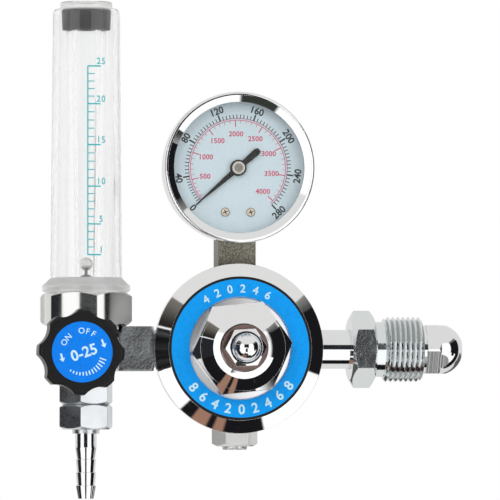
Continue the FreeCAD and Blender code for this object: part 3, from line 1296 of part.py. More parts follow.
def hose_barb():
    """The hose tail: a head inside the nut, a plain neck, and cones that the hose is pushed over."""
    head_bottom = HOSE_NUT_BOTTOM + HOSE_NUT_LIP + SLIP
    tip = TAIL_FIRST_BARB - TAIL_BARBS * TAIL_BARB_LENGTH
    outline = [
        (TAIL_BORE_RADIUS, UNION_THREAD_BOTTOM - SLIP),
        (TAIL_HEAD_RADIUS - 1.0, UNION_THREAD_BOTTOM - SLIP),
        (TAIL_HEAD_RADIUS, UNION_THREAD_BOTTOM - 1),
        (TAIL_HEAD_RADIUS, head_bottom),
        (TAIL_STEM_RADIUS, head_bottom),
        (TAIL_STEM_RADIUS, TAIL_STEM_BOTTOM),
        (TAIL_WAIST_RADIUS, TAIL_FIRST_BARB),
    ]
    for k in range(TAIL_BARBS):
        top = TAIL_FIRST_BARB - k * TAIL_BARB_LENGTH
        outline += [(TAIL_BARB_RADIUS, top), (TAIL_WAIST_RADIUS, top - TAIL_BARB_LENGTH)]
    outline[-1] = (TAIL_WAIST_RADIUS - 0.4, tip)
    outline += [(TAIL_BORE_RADIUS, tip)]
    return turned(outline, FLOW)


PIECES = (
    regulator_body,
    bonnet,
    label_ring,
    diaphragm,
    diaphragm_plate,
    main_spring,
    spring_button,
    adjusting_screw,
    cap_washer,
    acorn_nut,
    seat_nozzle,
    valve_poppet,
    poppet_spring,
    relief_body,
    relief_poppet,
    relief_spring,
    relief_plug,
    inlet_nipple,
    inlet_nut,
    inlet_filter,
    gauge_case,
    gauge_bezel,
    gauge_lens,
    gauge_dial,
    dial_screws,
    gauge_socket,
    bourdon_tube,
    movement_frame,
    sector_gear,
    tip_link,
    pointer_arbor,
    hairspring,
    gauge_pointer,
    outlet_block,
    valve_body,
    tube_base,
    flow_cover,
    metering_tube,
    tube_gasket,
    top_seal,
    float_stop,
    float_ball,
    valve_spindle,
    valve_packing,
    valve_gland,
    flow_knob,
    knob_label,
    outlet_union,
    hose_nut,
    hose_barb,
)

os.makedirs("parts", exist_ok=True)
for piece in PIECES:
    shape = piece()
    shape.translate(Vector(-THREAD_END, 0, 0))
    if not shape.isValid() or shape.Volume <= 0:
        print("not a sound solid:", piece.__name__)
    print(f"{piece.__name__}: {len(shape.Solids)} solid, {shape.Volume:.1f} mm3")
    shape.exportStep(f"parts/{piece.__name__}.step")
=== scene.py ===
"""A chromed shielding gas regulator with its pressure gauge and flowmeter, dressed round its CAD frame.

Lengths are written in millimetres from the regulator's centre, where the bonnet's axis crosses the ports:
x to the right, front towards the reader, z up. at() turns them into the frame's own metres.
"""

import math

import bmesh
import bpy
from mathutils import Matrix, Vector


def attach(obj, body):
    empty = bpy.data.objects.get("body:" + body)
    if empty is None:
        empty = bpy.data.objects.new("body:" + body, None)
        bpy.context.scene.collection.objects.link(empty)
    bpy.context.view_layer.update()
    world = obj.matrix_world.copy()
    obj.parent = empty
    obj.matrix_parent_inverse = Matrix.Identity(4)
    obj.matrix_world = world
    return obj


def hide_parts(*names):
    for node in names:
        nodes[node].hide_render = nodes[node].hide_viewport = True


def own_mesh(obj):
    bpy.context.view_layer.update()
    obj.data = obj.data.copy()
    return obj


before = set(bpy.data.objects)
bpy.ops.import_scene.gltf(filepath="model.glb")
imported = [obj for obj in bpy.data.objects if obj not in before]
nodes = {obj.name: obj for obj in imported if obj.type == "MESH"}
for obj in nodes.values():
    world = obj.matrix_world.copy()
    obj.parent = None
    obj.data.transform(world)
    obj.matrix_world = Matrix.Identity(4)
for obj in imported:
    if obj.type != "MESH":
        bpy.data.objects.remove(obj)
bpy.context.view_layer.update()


# Camera: two metres off with a long lens, a little to the left of the regulator and a touch below its
# middle, level with the eye of a reader who has the gauge in front of them.
MM = 0.001
HUB_X = -65.7  # the regulator's centre, from the frame's origin
CAMERA_REACH = 2.0  # metres
VIEW_WIDTH = 0.175  # of the picture, at the object
SENSOR_WIDTH = 36


def at(x, front, z):
    return Vector(((x + HUB_X) * MM, -front * MM, z * MM))


lens = bpy.data.cameras.new("camera")
camera = bpy.data.objects.new("camera", lens)
bpy.context.scene.collection.objects.link(camera)
bpy.context.scene.camera = camera
camera_side = math.radians(-7.6)
camera_rise = math.radians(-2.0)
camera_back = Vector(
    (
        math.sin(camera_side) * math.cos(camera_rise),
        -math.cos(camera_side) * math.cos(camera_rise),
        math.sin(camera_rise),
    )
)
camera.location = at(4.0, 11.0, 34.5) + camera_back * CAMERA_REACH
camera.rotation_euler = (-camera_back).to_track_quat("-Z", "Y").to_euler()
lens.sensor_width = SENSOR_WIDTH
lens.lens = SENSOR_WIDTH * CAMERA_REACH / VIEW_WIDTH
lens.clip_start = 0.05
lens.clip_end = 30
bpy.context.scene.view_settings.view_transform = "Standard"


# Studio: a white tent with two soft boxes in front and black cards at both sides and in the gaps, which is
# how chrome plate is lit. Its rough and painted surfaces see plain even light, and the view ends in white.
class Shade:
    """A shader socket that can stand in Python sums; each operator adds its Math node."""

    def __init__(self, tree, socket=None):
        self.tree = tree
        self.socket = socket

    def node(self, kind, settings=None, sockets=None, out=0):
        """Adds a node with its settings, and fills or links its sockets."""
        made = self.tree.nodes.new(kind)
        for name, value in (settings or {}).items():
            setattr(made, name, value)
        for name, value in (sockets or {}).items():
            if isinstance(value, Shade):
                self.tree.links.new(value.socket, made.inputs[name])
            else:
                made.inputs[name].default_value = value
        return Shade(self.tree, made.outputs[out] if made.outputs else None)

    def maths(self, operation, *values):
        return self.node("ShaderNodeMath", {"operation": operation}, dict(enumerate(values)))

    def __add__(self, other):
        return self.maths("ADD", self, other)

    def __sub__(self, other):
        return self.maths("SUBTRACT", self, other)

    def __rsub__(self, other):
        return self.maths("SUBTRACT", other, self)

    def __mul__(self, other):
        return self.maths("MULTIPLY", self, other)

    def __pow__(self, other):
        return self.maths("POWER", self, other)

    def __neg__(self):
        return self.maths("MULTIPLY", self, -1.0)

    __radd__ = __add__
    __rmul__ = __mul__

    def most(self, other):
        return self.maths("MAXIMUM", self, other)

    def least(self, other):
        return self.maths("MINIMUM", self, other)

    def rise(self, low, high):
        """Goes smoothly from 0 to 1 while the value goes from low to high."""
        sockets = {"Value": self, "From Min": low, "From Max": high}
        return self.node("ShaderNodeMapRange", {"interpolation_type": "SMOOTHSTEP"}, sockets)

    def band(self, low, high, soft):
        """1 between low and high, 0 outside, over a soft edge."""
        return self.rise(low - soft, low + soft) * (1 - self.rise(high - soft, high + soft))

    def blend(self, first, second):
        """The first colour where the value is 0, the second where it is 1."""
        return self.node("ShaderNodeMix", {"data_type": "RGBA"}, {0: self, 6: first, 7: second}, out=2)

    def split(self):
        parts = self.node("ShaderNodeSeparateXYZ", None, {0: self}).socket.node.outputs
        return [Shade(self.tree, part) for part in parts]


world = bpy.data.worlds.new("studio")
bpy.context.scene.world = world
world.use_nodes = True
world.node_tree.nodes.clear()
start = Shade(world.node_tree)
to_x, to_y, to_z = start.node("ShaderNodeTexCoord", out="Generated").split()
aside = to_x.maths("ARCTAN2", to_x, -to_y) * math.degrees(1)
height = to_z.maths("ARCSINE", to_z) * math.degrees(1)
off_axis = to_y.maths("ARCCOSINE", -to_y) * math.degrees(1)
clock = to_z.maths("ARCTAN2", to_z, to_x) * math.degrees(1)
left_clock = to_z.maths("ARCTAN2", to_z, -to_x) * math.degrees(1)


def opening(left, right, low, high):
    """A gap between two boxes, from one azimuth to another and from one height to another."""
    return aside.band(left, right, 1) * height.band(low, high, 1.5)


def card(sweep, start, stop, near, far, ends=1.0, rims=2.0):
    """A card in a sector of the clock, from so many degrees off the bonnet's axis to so many."""
    return sweep.band(start, stop, ends) * off_axis.band(near, far, rims)


sides = aside.band(10, 84, 2).most(aside.band(-82, -28, 2)) * height.band(-8, 25, 2)
boxes = (1 - height.rise(-4, -1)).most(sides) * (1 - off_axis.rise(93, 100))
tent = boxes.blend((0.80, 0.80, 0.785, 1), (1.2, 1.2, 1.2, 1))
gap = opening(-28, 11, -2, 25)
low_gap = opening(-17, 2, -40, -9)
right_card = card(clock, -15, 27.9, 53, 101, 0.8).most(card(clock, -25, -13, 60, 74, 0.8, 1.5))
right_shade = card(clock, 26.6, 35.3, 53, 94, 0.8)
left_card = card(left_clock, -15, 17.5, 64.2, 113, 0.8, 0.3)
left_shade = card(left_clock, 18.8, 43, 64.2, 113, 1, 0.3)
low_card = card(clock, -129.5, -103, 64, 97, 1.2, 0.8).most(card(clock, -107, -84, 66.5, 97, 1, 1.5))
low_card = low_card.most(card(clock, -88, -65, 68.5, 97, 1.2, 1.5))
low_patch = card(clock, -117.5, -82.3, 51, 68, 2, 1.5)
low_edge = card(clock, -174, -124, 71, 103, 3).most(card(clock, -72, -9, 81, 103, 3))
behind = aside.band(112, 168, 3).most(aside.band(-168, -112, 3)) * height.band(-34, -7, 3)
warm = low_card * clock.band(-118.7, -106.8, 1.4).most(clock.band(-101.4, -93.9, 1.4))
black = gap
for dark in (low_gap, right_card, right_shade, left_card, low_card, low_patch, low_edge):
    black = black.most(dark)
soot = left_card.most(gap * 0.8).blend((0.010, 0.010, 0.012, 1), (0.020, 0.022, 0.026, 1))
slate = low_patch.blend(low_gap.blend(soot, (0.035, 0.026, 0.022, 1)), (0.040, 0.045, 0.038, 1))
dusk = clock.rise(26, 36).blend((0.07, 0.07, 0.066, 1), (0.24, 0.24, 0.225, 1))
cards = right_shade.blend(warm.blend(slate, (0.36, 0.20, 0.14, 1)), dusk)
shade = left_clock.rise(18, 46).blend((0.012, 0.011, 0.010, 1), (0.20, 0.185, 0.165, 1))
tent = (behind * 0.9).blend(tent, (0.03, 0.03, 0.032, 1))
seen_in_metal = black.blend(left_shade.blend(tent, shade), cards)
EVEN_LIGHT = (0.62, 0.62, 0.62, 1)
PURE_WHITE = (1, 1, 1, 1)


def in_view(shade):
    """1 for what the camera sees, also through clear plastic."""
    ray = shade.node("ShaderNodeLightPath").socket.node.outputs
    return Shade(shade.tree, ray["Is Camera Ray"]).most(Shade(shade.tree, ray["Is Transmission Ray"]))


light = start.node("ShaderNodeLightPath", out="Is Glossy Ray").blend(EVEN_LIGHT, seen_in_metal)
sky = start.node("ShaderNodeBackground", None, {"Color": in_view(start).blend(light, PURE_WHITE)})
start.node("ShaderNodeOutputWorld", None, {"Surface": sky})

LAMP_AIM = at(-5, 0, 30)
for lamp_name, power, size, where in (
    ("key_lamp", 6.0, 0.9, at(-700, 1100, 700)),
    ("fill_lamp", 3.7, 0.9, at(800, 1000, 250)),
    ("top_lamp", 2.2, 0.7, at(0, 150, 1000)),
):
    lamp_data = bpy.data.lights.new(lamp_name, "AREA")
    lamp_data.energy = power
    lamp_data.size = size
    lamp = bpy.data.objects.new(lamp_name, lamp_data)
    lamp.location = where
    lamp.rotation_euler = (LAMP_AIM - where).to_track_quat("-Z", "Y").to_euler()
    lamp.visible_glossy = False
    lamp.visible_transmission = False
    bpy.context.scene.collection.objects.link(lamp)

FLOOR_Z = -120
FLOOR_RADIUS = 4.0  # metres
floor_mesh = bpy.data.meshes.new("floor")
bm = bmesh.new()
floor_place = Matrix.Translation(at(0, 0, FLOOR_Z))
bmesh.ops.create_circle(bm, cap_ends=True, radius=FLOOR_RADIUS, segments=96, matrix=floor_place)
bm.to_mesh(floor_mesh)
bm.free()
floor = bpy.data.objects.new("floor", floor_mesh)
bpy.context.scene.collection.objects.link(floor)
floor.visible_glossy = False


def finish_of(name, recipe):
    """A material. The recipe turns the place on the piece, in metres, into its shader."""
    made = bpy.data.materials.new(name)
    made.use_nodes = True
    made.node_tree.nodes.clear()
    first = Shade(made.node_tree)
    shader = recipe(first.node("ShaderNodeTexCoord", out="Object"))
    first.node("ShaderNodeOutputMaterial", None, {"Surface": shader})
    return made


def grain(place, size, detail=2.0):
    """Noise from 0 to 1 whose lumps are about that many millimetres across."""
    sockets = {"Vector": place, "Scale": 1 / (size * MM), "Detail": detail}
    return place.node("ShaderNodeTexNoise", None, sockets)


def bumped(place, height, **more):
    """A normal that leans with a height in metres."""
    return place.node("ShaderNodeBump", None, {"Height": height, "Distance": 1.0, **more})


def pale_floor(place):
    x, y, _ = place.split()
    reach = ((x - HUB_X * MM) ** 2 + y ** 2) ** 0.5
    paper = grain(place, 4).blend((0.86, 0.86, 0.86, 1), (0.90, 0.90, 0.90, 1))
    near = place.node("ShaderNodeBsdfDiffuse", None, {"Color": paper})
    far = place.node("ShaderNodeEmission", None, {"Color": in_view(place).blend(EVEN_LIGHT, PURE_WHITE)})
    return place.node("ShaderNodeMixShader", None, {0: reach.rise(0.12, 0.75), 1: near, 2: far})


floor_mesh.materials.append(finish_of("pale_floor", pale_floor))


# Regulator body: a hot-forged brass head with its four port bosses, turned where it seals, then polished
# and chrome plated. Only its rear, rim and bosses show round the bonnet.
def wear(node, finish):
    """Gives a frame node its finish."""
    slots = nodes[node].data.materials
    slots.clear()
    slots.append(finish)


def plated(tint, gloss, pits=0.0, pit_size=0.5, wave=0.03, edge=0.2, sag=None, dull=None, darkening=None):
    """Polished plate: pits and wave are heights in millimetres, edge is the radius that wear rounded on its
    corners and sag a height of its own that the polishing left. It is satin where dull is 1, and darker in
    colour where darkening is 1, which on some pieces is painted shade."""

    def recipe(place):
        smears = grain(place, 9, 3).rise(0.42, 0.72)
        specks = grain(place, 0.16, 1).rise(0.66, 0.74)
        rounded = place.node("ShaderNodeBevel", {"samples": 4}, {"Radius": edge * MM})
        hollow = grain(place, 16, 1) * wave + grain(place, pit_size, 4) * pits
        relief = hollow * MM + sag(place) if sag else hollow * MM
        lie = bumped(place, relief, Normal=rounded)
        colour = specks.blend((*tint, 1), tuple(c * 0.86 for c in tint) + (1,))
        rough = gloss + smears * (0.4 * gloss) + specks * 0.1
        sockets = {
            "Base Color": darkening(place).blend(colour, (0.05, 0.047, 0.043, 1)) if darkening else colour,
            "Metallic": 1.0,
            "Roughness": rough + dull(place) * 0.3 if dull else rough,
            "Normal": lie,
        }
        return place.node("ShaderNodeBsdfPrincipled", None, sockets)

    return recipe


chrome = finish_of("chrome_plate", plated((0.86, 0.87, 0.88), 0.035))
wear("regulator_body", chrome)


# Bonnet: one turned brass piece, bevelled ring, spanner hexagon and cone, polished brighter than the body
# before it was plated. It screws over the head and presses the diaphragm on its seat.
def from_hub(place):
    """How far a place is from the bonnet's axis and how far to the front, in millimetres."""
    x, y, z = place.split()
    return ((x - HUB_X * MM) ** 2 + z ** 2) ** 0.5 * 1000, y * -1000


WASHER_EDGE = 8.5
SHOULDER = 10.8
CHAMFER = 14.9
CHAMFER_WIDTH = 3.0
HEX_CORNER = 18.1
RECESS_FRONT = 15.2


def crown(place):
    """The wheel dwelt on the crown's shoulder and on the hexagon's chamfer, so both fall away faster."""
    reach = from_hub(place)[0]
    inner = (reach - WASHER_EDGE).most(0.0).least(SHOULDER - WASHER_EDGE)
    outer = (reach - SHOULDER).most(0.0).least(CHAMFER - SHOULDER)
    chamfer = (reach - CHAMFER).most(0.0).least(CHAMFER_WIDTH)
    fall = inner * 0.14 - inner ** 2 * 0.03 + outer * 0.325 - outer ** 2 * 0.057 + chamfer * 0.18
    return fall * -MM


def recess(place):
    """The floor round the hexagon, which the polishing wheel can't reach."""
    reach, front = from_hub(place)
    shallow = front.rise(RECESS_FRONT, RECESS_FRONT + 0.3)
    return (1 - shallow) * (1 - reach.rise(HEX_CORNER, HEX_CORNER + 0.2))


bright = plated((0.90, 0.90, 0.91), 0.022, wave=0.02, edge=0.3, sag=crown, dull=recess)
wear("bonnet", finish_of("bonnet_chrome", bright))


# Label ring: a printed plastic ring glued in the bonnet's recess, bright blue, with a row of white figures
# above the hexagon and one below it. A thin black ring stands round its outer edge.
def ink(red, green, blue):
    """A printed colour, from its screen values."""

    def linear(value):
        value /= 255
        return value / 12.92 if value <= 0.04045 else ((value + 0.055) / 1.055) ** 2.4

    return (linear(red), linear(green), linear(blue), 1)


def printed(colour, gloss=0.35, mottle=0.06):
    """A printed or painted film: its colour runs a little thick and thin."""

    def recipe(place):
        patches = grain(place, 1.2, 3)
        darker = tuple(c * (1 - mottle * 2) for c in colour[:3]) + (1,)
        dots = grain(place, 0.12, 1)
        film = bumped(place, dots * (0.002 * MM))
        sockets = {
            "Base Color": patches.rise(0.3, 0.75).blend(colour, darker),
            "Roughness": gloss + patches * 0.12,
            "Specular IOR Level": 0.2,
            "Normal": film,
        }
        return place.node("ShaderNodeBsdfPrincipled", None, sockets)

    return recipe


def smooth(mesh, angle=32):
    mesh.polygons.foreach_set("use_smooth", [True] * len(mesh.polygons))
    mesh.set_sharp_from_angle(angle=math.radians(angle))


def skin(name, rows, body, finish, angle=32):
    """A piece from rows of points that each run once round it; the last row joins the first."""
    bm = bmesh.new()
    loops = [[bm.verts.new(point) for point in row] for row in rows]
    around = len(rows[0])
    for row, following in zip(loops, loops[1:] + loops[:1]):
        for k in range(around):
            corners = (row[k], row[(k + 1) % around], following[(k + 1) % around], following[k])
            bm.faces.new(corners)
    bmesh.ops.recalc_face_normals(bm, faces=bm.faces)
    mesh = bpy.data.meshes.new(name)
    bm.to_mesh(mesh)
    bm.free()
    smooth(mesh, angle)
    mesh.materials.append(finish)
    piece = bpy.data.objects.new(name, mesh)
    bpy.context.scene.collection.objects.link(piece)
    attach(piece, body)
    return piece


def facing(x, z, radius, degrees, front):
    """A point on a face towards the reader, by its distance and clock angle from (x, z)."""
    angle = math.radians(degrees)
    return at(x + radius * math.cos(angle), front, z + radius * math.sin(angle))


def washer(name, x, z, inner, outer, back, front, body, finish):
    """A flat ring that faces the reader, with a hair of a bevel on its front edges."""
    outline = ((inner, back), (inner, front), (outer - 0.05, front), (outer, front - 0.05), (outer, back))
    steps = [k * 360 / 144 for k in range(144)]
    rows = [[facing(x, z, radius, step, depth) for step in steps] for radius, depth in outline]
    return skin(name, rows, body, finish)


def glyph(text, height, bold=0.0, spread=1.0):
    """The outline of some characters as a mesh in millimetres, centred, a hair thick."""
    curve = bpy.data.curves.new("glyph", "FONT")
    curve.body = text
    curve.size = height * 1.37
    curve.align_x = "CENTER"
    curve.offset = bold
    curve.space_character = spread
    curve.extrude = 0.01
    curve.resolution_u = 3
    holder = bpy.data.objects.new("glyph", curve)
    mesh = bpy.data.meshes.new_from_object(holder)
    bpy.data.objects.remove(holder)
    bpy.data.curves.remove(curve)
    heights = [v.co.y for v in mesh.vertices]
    mesh.transform(Matrix.Translation((0, -(min(heights) + max(heights)) / 2, 0)))
    return mesh


def plate(points, thick=0.02):
    """A flat mark from its corners in millimetres, given anticlockwise."""
    count = len(points)
    corners = [(x, y, side * thick / 2) for side in (-1, 1) for x, y in points]
    faces = [tuple(reversed(range(count))), tuple(range(count, 2 * count))]
    faces += [(k, (k + 1) % count, count + (k + 1) % count, count + k) for k in range(count)]
    mesh = bpy.data.meshes.new("mark")
    mesh.from_pydata(corners, [], faces)
    return mesh


def bar(width, length):
    x, y = width / 2, length / 2
    return plate([(-x, -y), (x, -y), (x, y), (-x, y)])


def arrow(length, height, direction):
    """A solid arrow that points along the line, one way or the other."""
    half = length / 2
    shaft = height * 0.17
    neck = half - height * 0.62
    points = [(-half, -shaft), (neck, -shaft), (neck, -height / 2), (half, 0)]
    points += [(neck, height / 2), (neck, shaft), (-half, shaft)]
    if direction < 0:
        points = [(-x, y) for x, y in reversed(points)]
    return plate(points)


def on_face(x, z, front):
    """The flat frame of a print: right is +X, up is +Z, and its front looks at the reader."""
    turn = Matrix(((1, 0, 0), (0, 0, -1), (0, 1, 0))).to_4x4()
    return Matrix.Translation(at(x, front, z)) @ turn @ Matrix.Scale(MM, 4)


def polar(radius, degrees, turn):
    """A place at a distance and clock angle, with the mark turned by so many degrees."""
    angle = math.radians(degrees)
    shift = Matrix.Translation((radius * math.cos(angle), radius * math.sin(angle), 0))
    return shift @ Matrix.Rotation(math.radians(turn), 4, "Z")


def arc_of_text(text, size, bold, radius, first, step, turn):
    """Characters one by one on an arc, from the first clock angle on."""
    angles = [first + step * k for k in range(len(text))]
    return [(glyph(one, size, bold), polar(radius, a, a + turn)) for one, a in zip(text, angles)]


def print_marks(name, marks, base, body, finish, bend=None):
    """Joins marks, each with its place in the print, into one piece on the base."""
    bm = bmesh.new()
    for mesh, place in marks:
        mark = mesh.copy()
        mark.transform(place)
        bm.from_mesh(mark)
        bpy.data.meshes.remove(mark)
    bmesh.ops.remove_doubles(bm, verts=bm.verts, dist=0.0005)
    if bend:
        for vert in bm.verts:
            vert.co = bend(vert.co)
    mesh = bpy.data.meshes.new(name)
    bm.to_mesh(mesh)
    bm.free()
    mesh.transform(base)
    mesh.materials.append(finish)
    piece = bpy.data.objects.new(name, mesh)
    bpy.context.scene.collection.objects.link(piece)
    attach(piece, body)
    return piece


label_blue = finish_of("label_blue", printed(ink(0, 158, 246), 0.3))
label_white = finish_of("label_white", printed(ink(206, 240, 252), 0.4))
wear("label_ring", label_blue)
LABEL_FRONT = 16.0
INK_LIFT = 0.015
RIM_INNER = 24.2
RIM_OUTER = 25.1
marks = arc_of_text("420246", 2.9, 0.07, 20.9, 125.5, -12.6, -90)
marks += arc_of_text("864202468", 3.5, 0.10, 21.3, 219.5, 12.9, 90)
print_marks("label_print", marks, on_face(0, 0, LABEL_FRONT + INK_LIFT), "regulator", label_white)
# The thin black ring round the label's outer edge.
black_rim = finish_of("black_rim", printed((0.012, 0.012, 0.013, 1), 0.4))
washer("label_black_rim", 0, 0, RIM_INNER, RIM_OUTER, 15.5, LABEL_FRONT + 0.02, "regulator", black_rim)


# Cap nut and washer: a bright acorn nut locks the preset screw and keeps hands off it, on a plain washer
# that was plated darker than the bonnet.
washer_plate = finish_of("washer_plate", plated((0.30, 0.205, 0.185), 0.24, edge=0.1))
wear("cap_washer", washer_plate)
wear("acorn_nut", finish_of("acorn_chrome", plated((0.90, 0.90, 0.91), 0.022, wave=0.01, edge=0.3)))


# Works inside the regulator: rubber and fabric diaphragm, pressed plates, springs of drawn wire, and the
# brass nozzle, poppet and screw, left as they come from the lathe.
def turned_brass(place):
    tone = grain(place, 3, 3).blend((0.78, 0.56, 0.25, 1), (0.70, 0.47, 0.20, 1))
    lines = place.node("ShaderNodeTexWave", {"bands_direction": "Y"}, {"Vector": place, "Scale": 900.0})
    lie = bumped(place, lines * (0.004 * MM))
    sockets = {"Base Color": tone, "Metallic": 1.0, "Roughness": 0.24 + lines * 0.06, "Normal": lie}
    return place.node("ShaderNodeBsdfPrincipled", None, sockets)


def drawn_steel(place):
    tone = grain(place, 0.5, 3).blend((0.50, 0.50, 0.50, 1), (0.36, 0.36, 0.37, 1))
    sockets = {"Base Color": tone, "Metallic": 1.0, "Roughness": 0.26 + grain(place, 0.3) * 0.14}
    return place.node("ShaderNodeBsdfPrincipled", None, sockets)


def moulded_rubber(place):
    tone = grain(place, 0.8, 3).blend((0.010, 0.010, 0.010, 1), (0.022, 0.021, 0.020, 1))
    lie = bumped(place, grain(place, 0.25, 3) * (0.02 * MM))
    sockets = {
        "Base Color": tone,
        "Roughness": 0.55 + grain(place, 0.6) * 0.2,
        "Specular IOR Level": 0.15,
        "Normal": lie,
    }
    return place.node("ShaderNodeBsdfPrincipled", None, sockets)


brass = finish_of("turned_brass", turned_brass)
wire = finish_of("spring_wire", drawn_steel)
rubber = finish_of("rubber", moulded_rubber)
for node in ("adjusting_screw", "seat_nozzle", "valve_poppet", "inlet_filter"):
    wear(node, brass)
for node in ("main_spring", "spring_button", "diaphragm_plate", "poppet_spring"):
    wear(node, wire)
wear("diaphragm", rubber)


def coil(name, node, fixed_end):
    """A copy of the spring that rides with the regulator, in place of the frame's own."""
    spring = bpy.data.objects.new(name, nodes[node].data.copy())
    bpy.context.scene.collection.objects.link(spring)
    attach(spring, "regulator")
    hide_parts(node)
    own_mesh(spring)


BUTTON_BACK = 19.55
coil("main_coil", "main_spring", at(0, BUTTON_BACK, 0))


# Relief valve: a hexagon fitting, turned from bar and dull plated, screwed up into the bottom port. The
# slotted plug in its end sets the spring.
relief_plate = finish_of("relief_plate", plated((0.92, 0.92, 0.91), 0.38, pits=0.004, pit_size=0.8))
wear("relief_body", relief_plate)
wear("relief_plug", relief_plate)
wear("relief_poppet", brass)
wear("relief_spring", wire)
PLUG_TOP = -32.35
coil("relief_coil", "relief_spring", at(0, 0, PLUG_TOP))


# Cylinder connection: the nipple's stem and bullet nose are turned from hexagon bar, so two flats show on
# the nose, as the saw and the file left them.
NOSE_START = 65.0


def filed(place):
    """The lower front flat of the nose, below its polished edge."""
    _, y, z = place.node("ShaderNodeTexCoord", out="Normal").split()
    x, _, low = place.split()
    nose = x.rise((NOSE_START + HUB_X) * MM, (NOSE_START + 0.5 + HUB_X) * MM)
    faces_down = (y * -0.866 - z * 0.5).rise(0.97, 0.985)
    return faces_down * (1 - low.rise(-1.1 * MM, -0.5 * MM)) * nose


# Painted shade: the lower front flat's colour is darkened towards grey, with filing lines running through
# it.
def filed_grey(place):
    x = place.split()[0]
    sockets = {"W": x, "Scale": 1 / (0.45 * MM), "Detail": 3.0}
    lines = place.node("ShaderNodeTexNoise", {"noise_dimensions": "1D"}, sockets)
    return filed(place) * (lines.rise(0.3, 0.7) * 0.6 + 0.25)


nipple_plate = plated((0.86, 0.87, 0.88), 0.035, dull=filed, darkening=filed_grey)
wear("inlet_nipple", finish_of("nipple_plate", nipple_plate))


# Union nut: a forged hexagon, a relief neck and a rolled thread, zinc plated. It turns on the stem and is
# kept on it by the nipple's hexagon and nose.
NUT_HEX = 23.6
NUT_START = 40.7
NUT_HEX_END = 49.3
NUT_NECK_END = 52.7
THREAD_END = 65.7
THREAD_MAJOR = 11.455
THREAD_PITCH = 1.814
THREAD_DEPTH = 1.16
THREAD_LEAD = 10.3
THREAD_FLOOR = 9.75
THREAD_START = NUT_NECK_END - 0.1
THREAD_TIP = THREAD_END + 0.4
NUT_NECK = 9.7
STEM_HOLE = 6.95
HEX_CHAMFER_FLAT = NUT_HEX / 2 * 0.93


def along_stem(x, radius, angle):
    return at(x, -radius * math.sin(angle), radius * math.cos(angle))


steps = [2 * math.pi * k / 144 for k in range(144)]


def flat_reach(angle):
    """How far the hexagon's side is from the axis, with a corner straight up."""
    return NUT_HEX / 2 / math.cos((angle % (math.pi / 3)) - math.pi / 6)


def hoop(x, radius):
    return [along_stem(x, radius, a) for a in steps]


def hex_edge(end, inward):
    """The curved edge that a 30 degree chamfer leaves on the hexagon's flats."""
    reaches = [(a, flat_reach(a)) for a in steps]
    slope = math.tan(math.radians(30))
    return [along_stem(end + inward * (r - HEX_CHAMFER_FLAT) * slope, r, a) for a, r in reaches]


rows = [hoop(THREAD_TIP, STEM_HOLE), hoop(NUT_START, STEM_HOLE), hoop(NUT_START, HEX_CHAMFER_FLAT)]
rows += [hex_edge(NUT_START, 1), hex_edge(NUT_HEX_END, -1), hoop(NUT_HEX_END, HEX_CHAMFER_FLAT)]
rows += [hoop(NUT_HEX_END, NUT_NECK), hoop(NUT_NECK_END - 0.2, NUT_NECK)]
stations = 150
for k in range(stations + 1):
    x = THREAD_START + (THREAD_TIP - THREAD_START) * k / stations
    run_in = min(1.0, (x - THREAD_START) / 0.8)
    run_out = min(1.0, (THREAD_TIP - x) / 0.9)
    top = THREAD_LEAD + (THREAD_MAJOR - THREAD_LEAD) * min(run_in, 0.25 + 0.75 * run_out)
    row = []
    for a in steps:
        phase = (x / THREAD_PITCH - a / (2 * math.pi)) % 1
        crest = min(1.0, max(0.0, abs(phase - 0.5) * 2 * 1.25 - 0.12))
        flank = THREAD_MAJOR - THREAD_DEPTH * (1 - crest)
        row.append(along_stem(x, max(min(top, flank), THREAD_FLOOR), a))
    rows.append(row)


def grooves(place):
    """The bottom of the thread is darker."""
    x, y, z = place.split()
    deep = 1 - ((y ** 2 + z ** 2) ** 0.5).rise(THREAD_LEAD * MM, (THREAD_LEAD + 0.8) * MM)
    past_neck = x.rise((NUT_NECK_END + 0.1 + HUB_X) * MM, (NUT_NECK_END + 0.3 + HUB_X) * MM)
    return deep * past_neck * 0.4


zinc = plated((0.80, 0.83, 0.84), 0.09, pits=0.022, pit_size=1.8, wave=0.03, edge=0.15, darkening=grooves)
nut_plate = finish_of("nut_plate", zinc)
union_nut = skin("union_nut", rows, "union_nut", nut_plate, angle=24)
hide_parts("inlet_nut")


# Gauge case, bezel and window: a drawn steel cup and a rolled ring, both polished and chrome plated, with
# a flat clear window of polycarbonate under the ring's lip.
GAUGE_Z = 63.3


def dished(place):
    """The bezel's face was polished a little flatter than it was rolled."""
    x, _, z = place.split()
    return ((x - HUB_X * MM) ** 2 + (z - GAUGE_Z * MM) ** 2) ** 0.5 * -0.052


case_tint = (0.88, 0.89, 0.90)
wear("gauge_case", finish_of("case_chrome", plated(case_tint, 0.03, wave=0.015, edge=0.15)))
bezel_plate = plated(case_tint, 0.03, wave=0.015, edge=0.15, sag=dished)
wear("gauge_bezel", finish_of("bezel_chrome", bezel_plate))


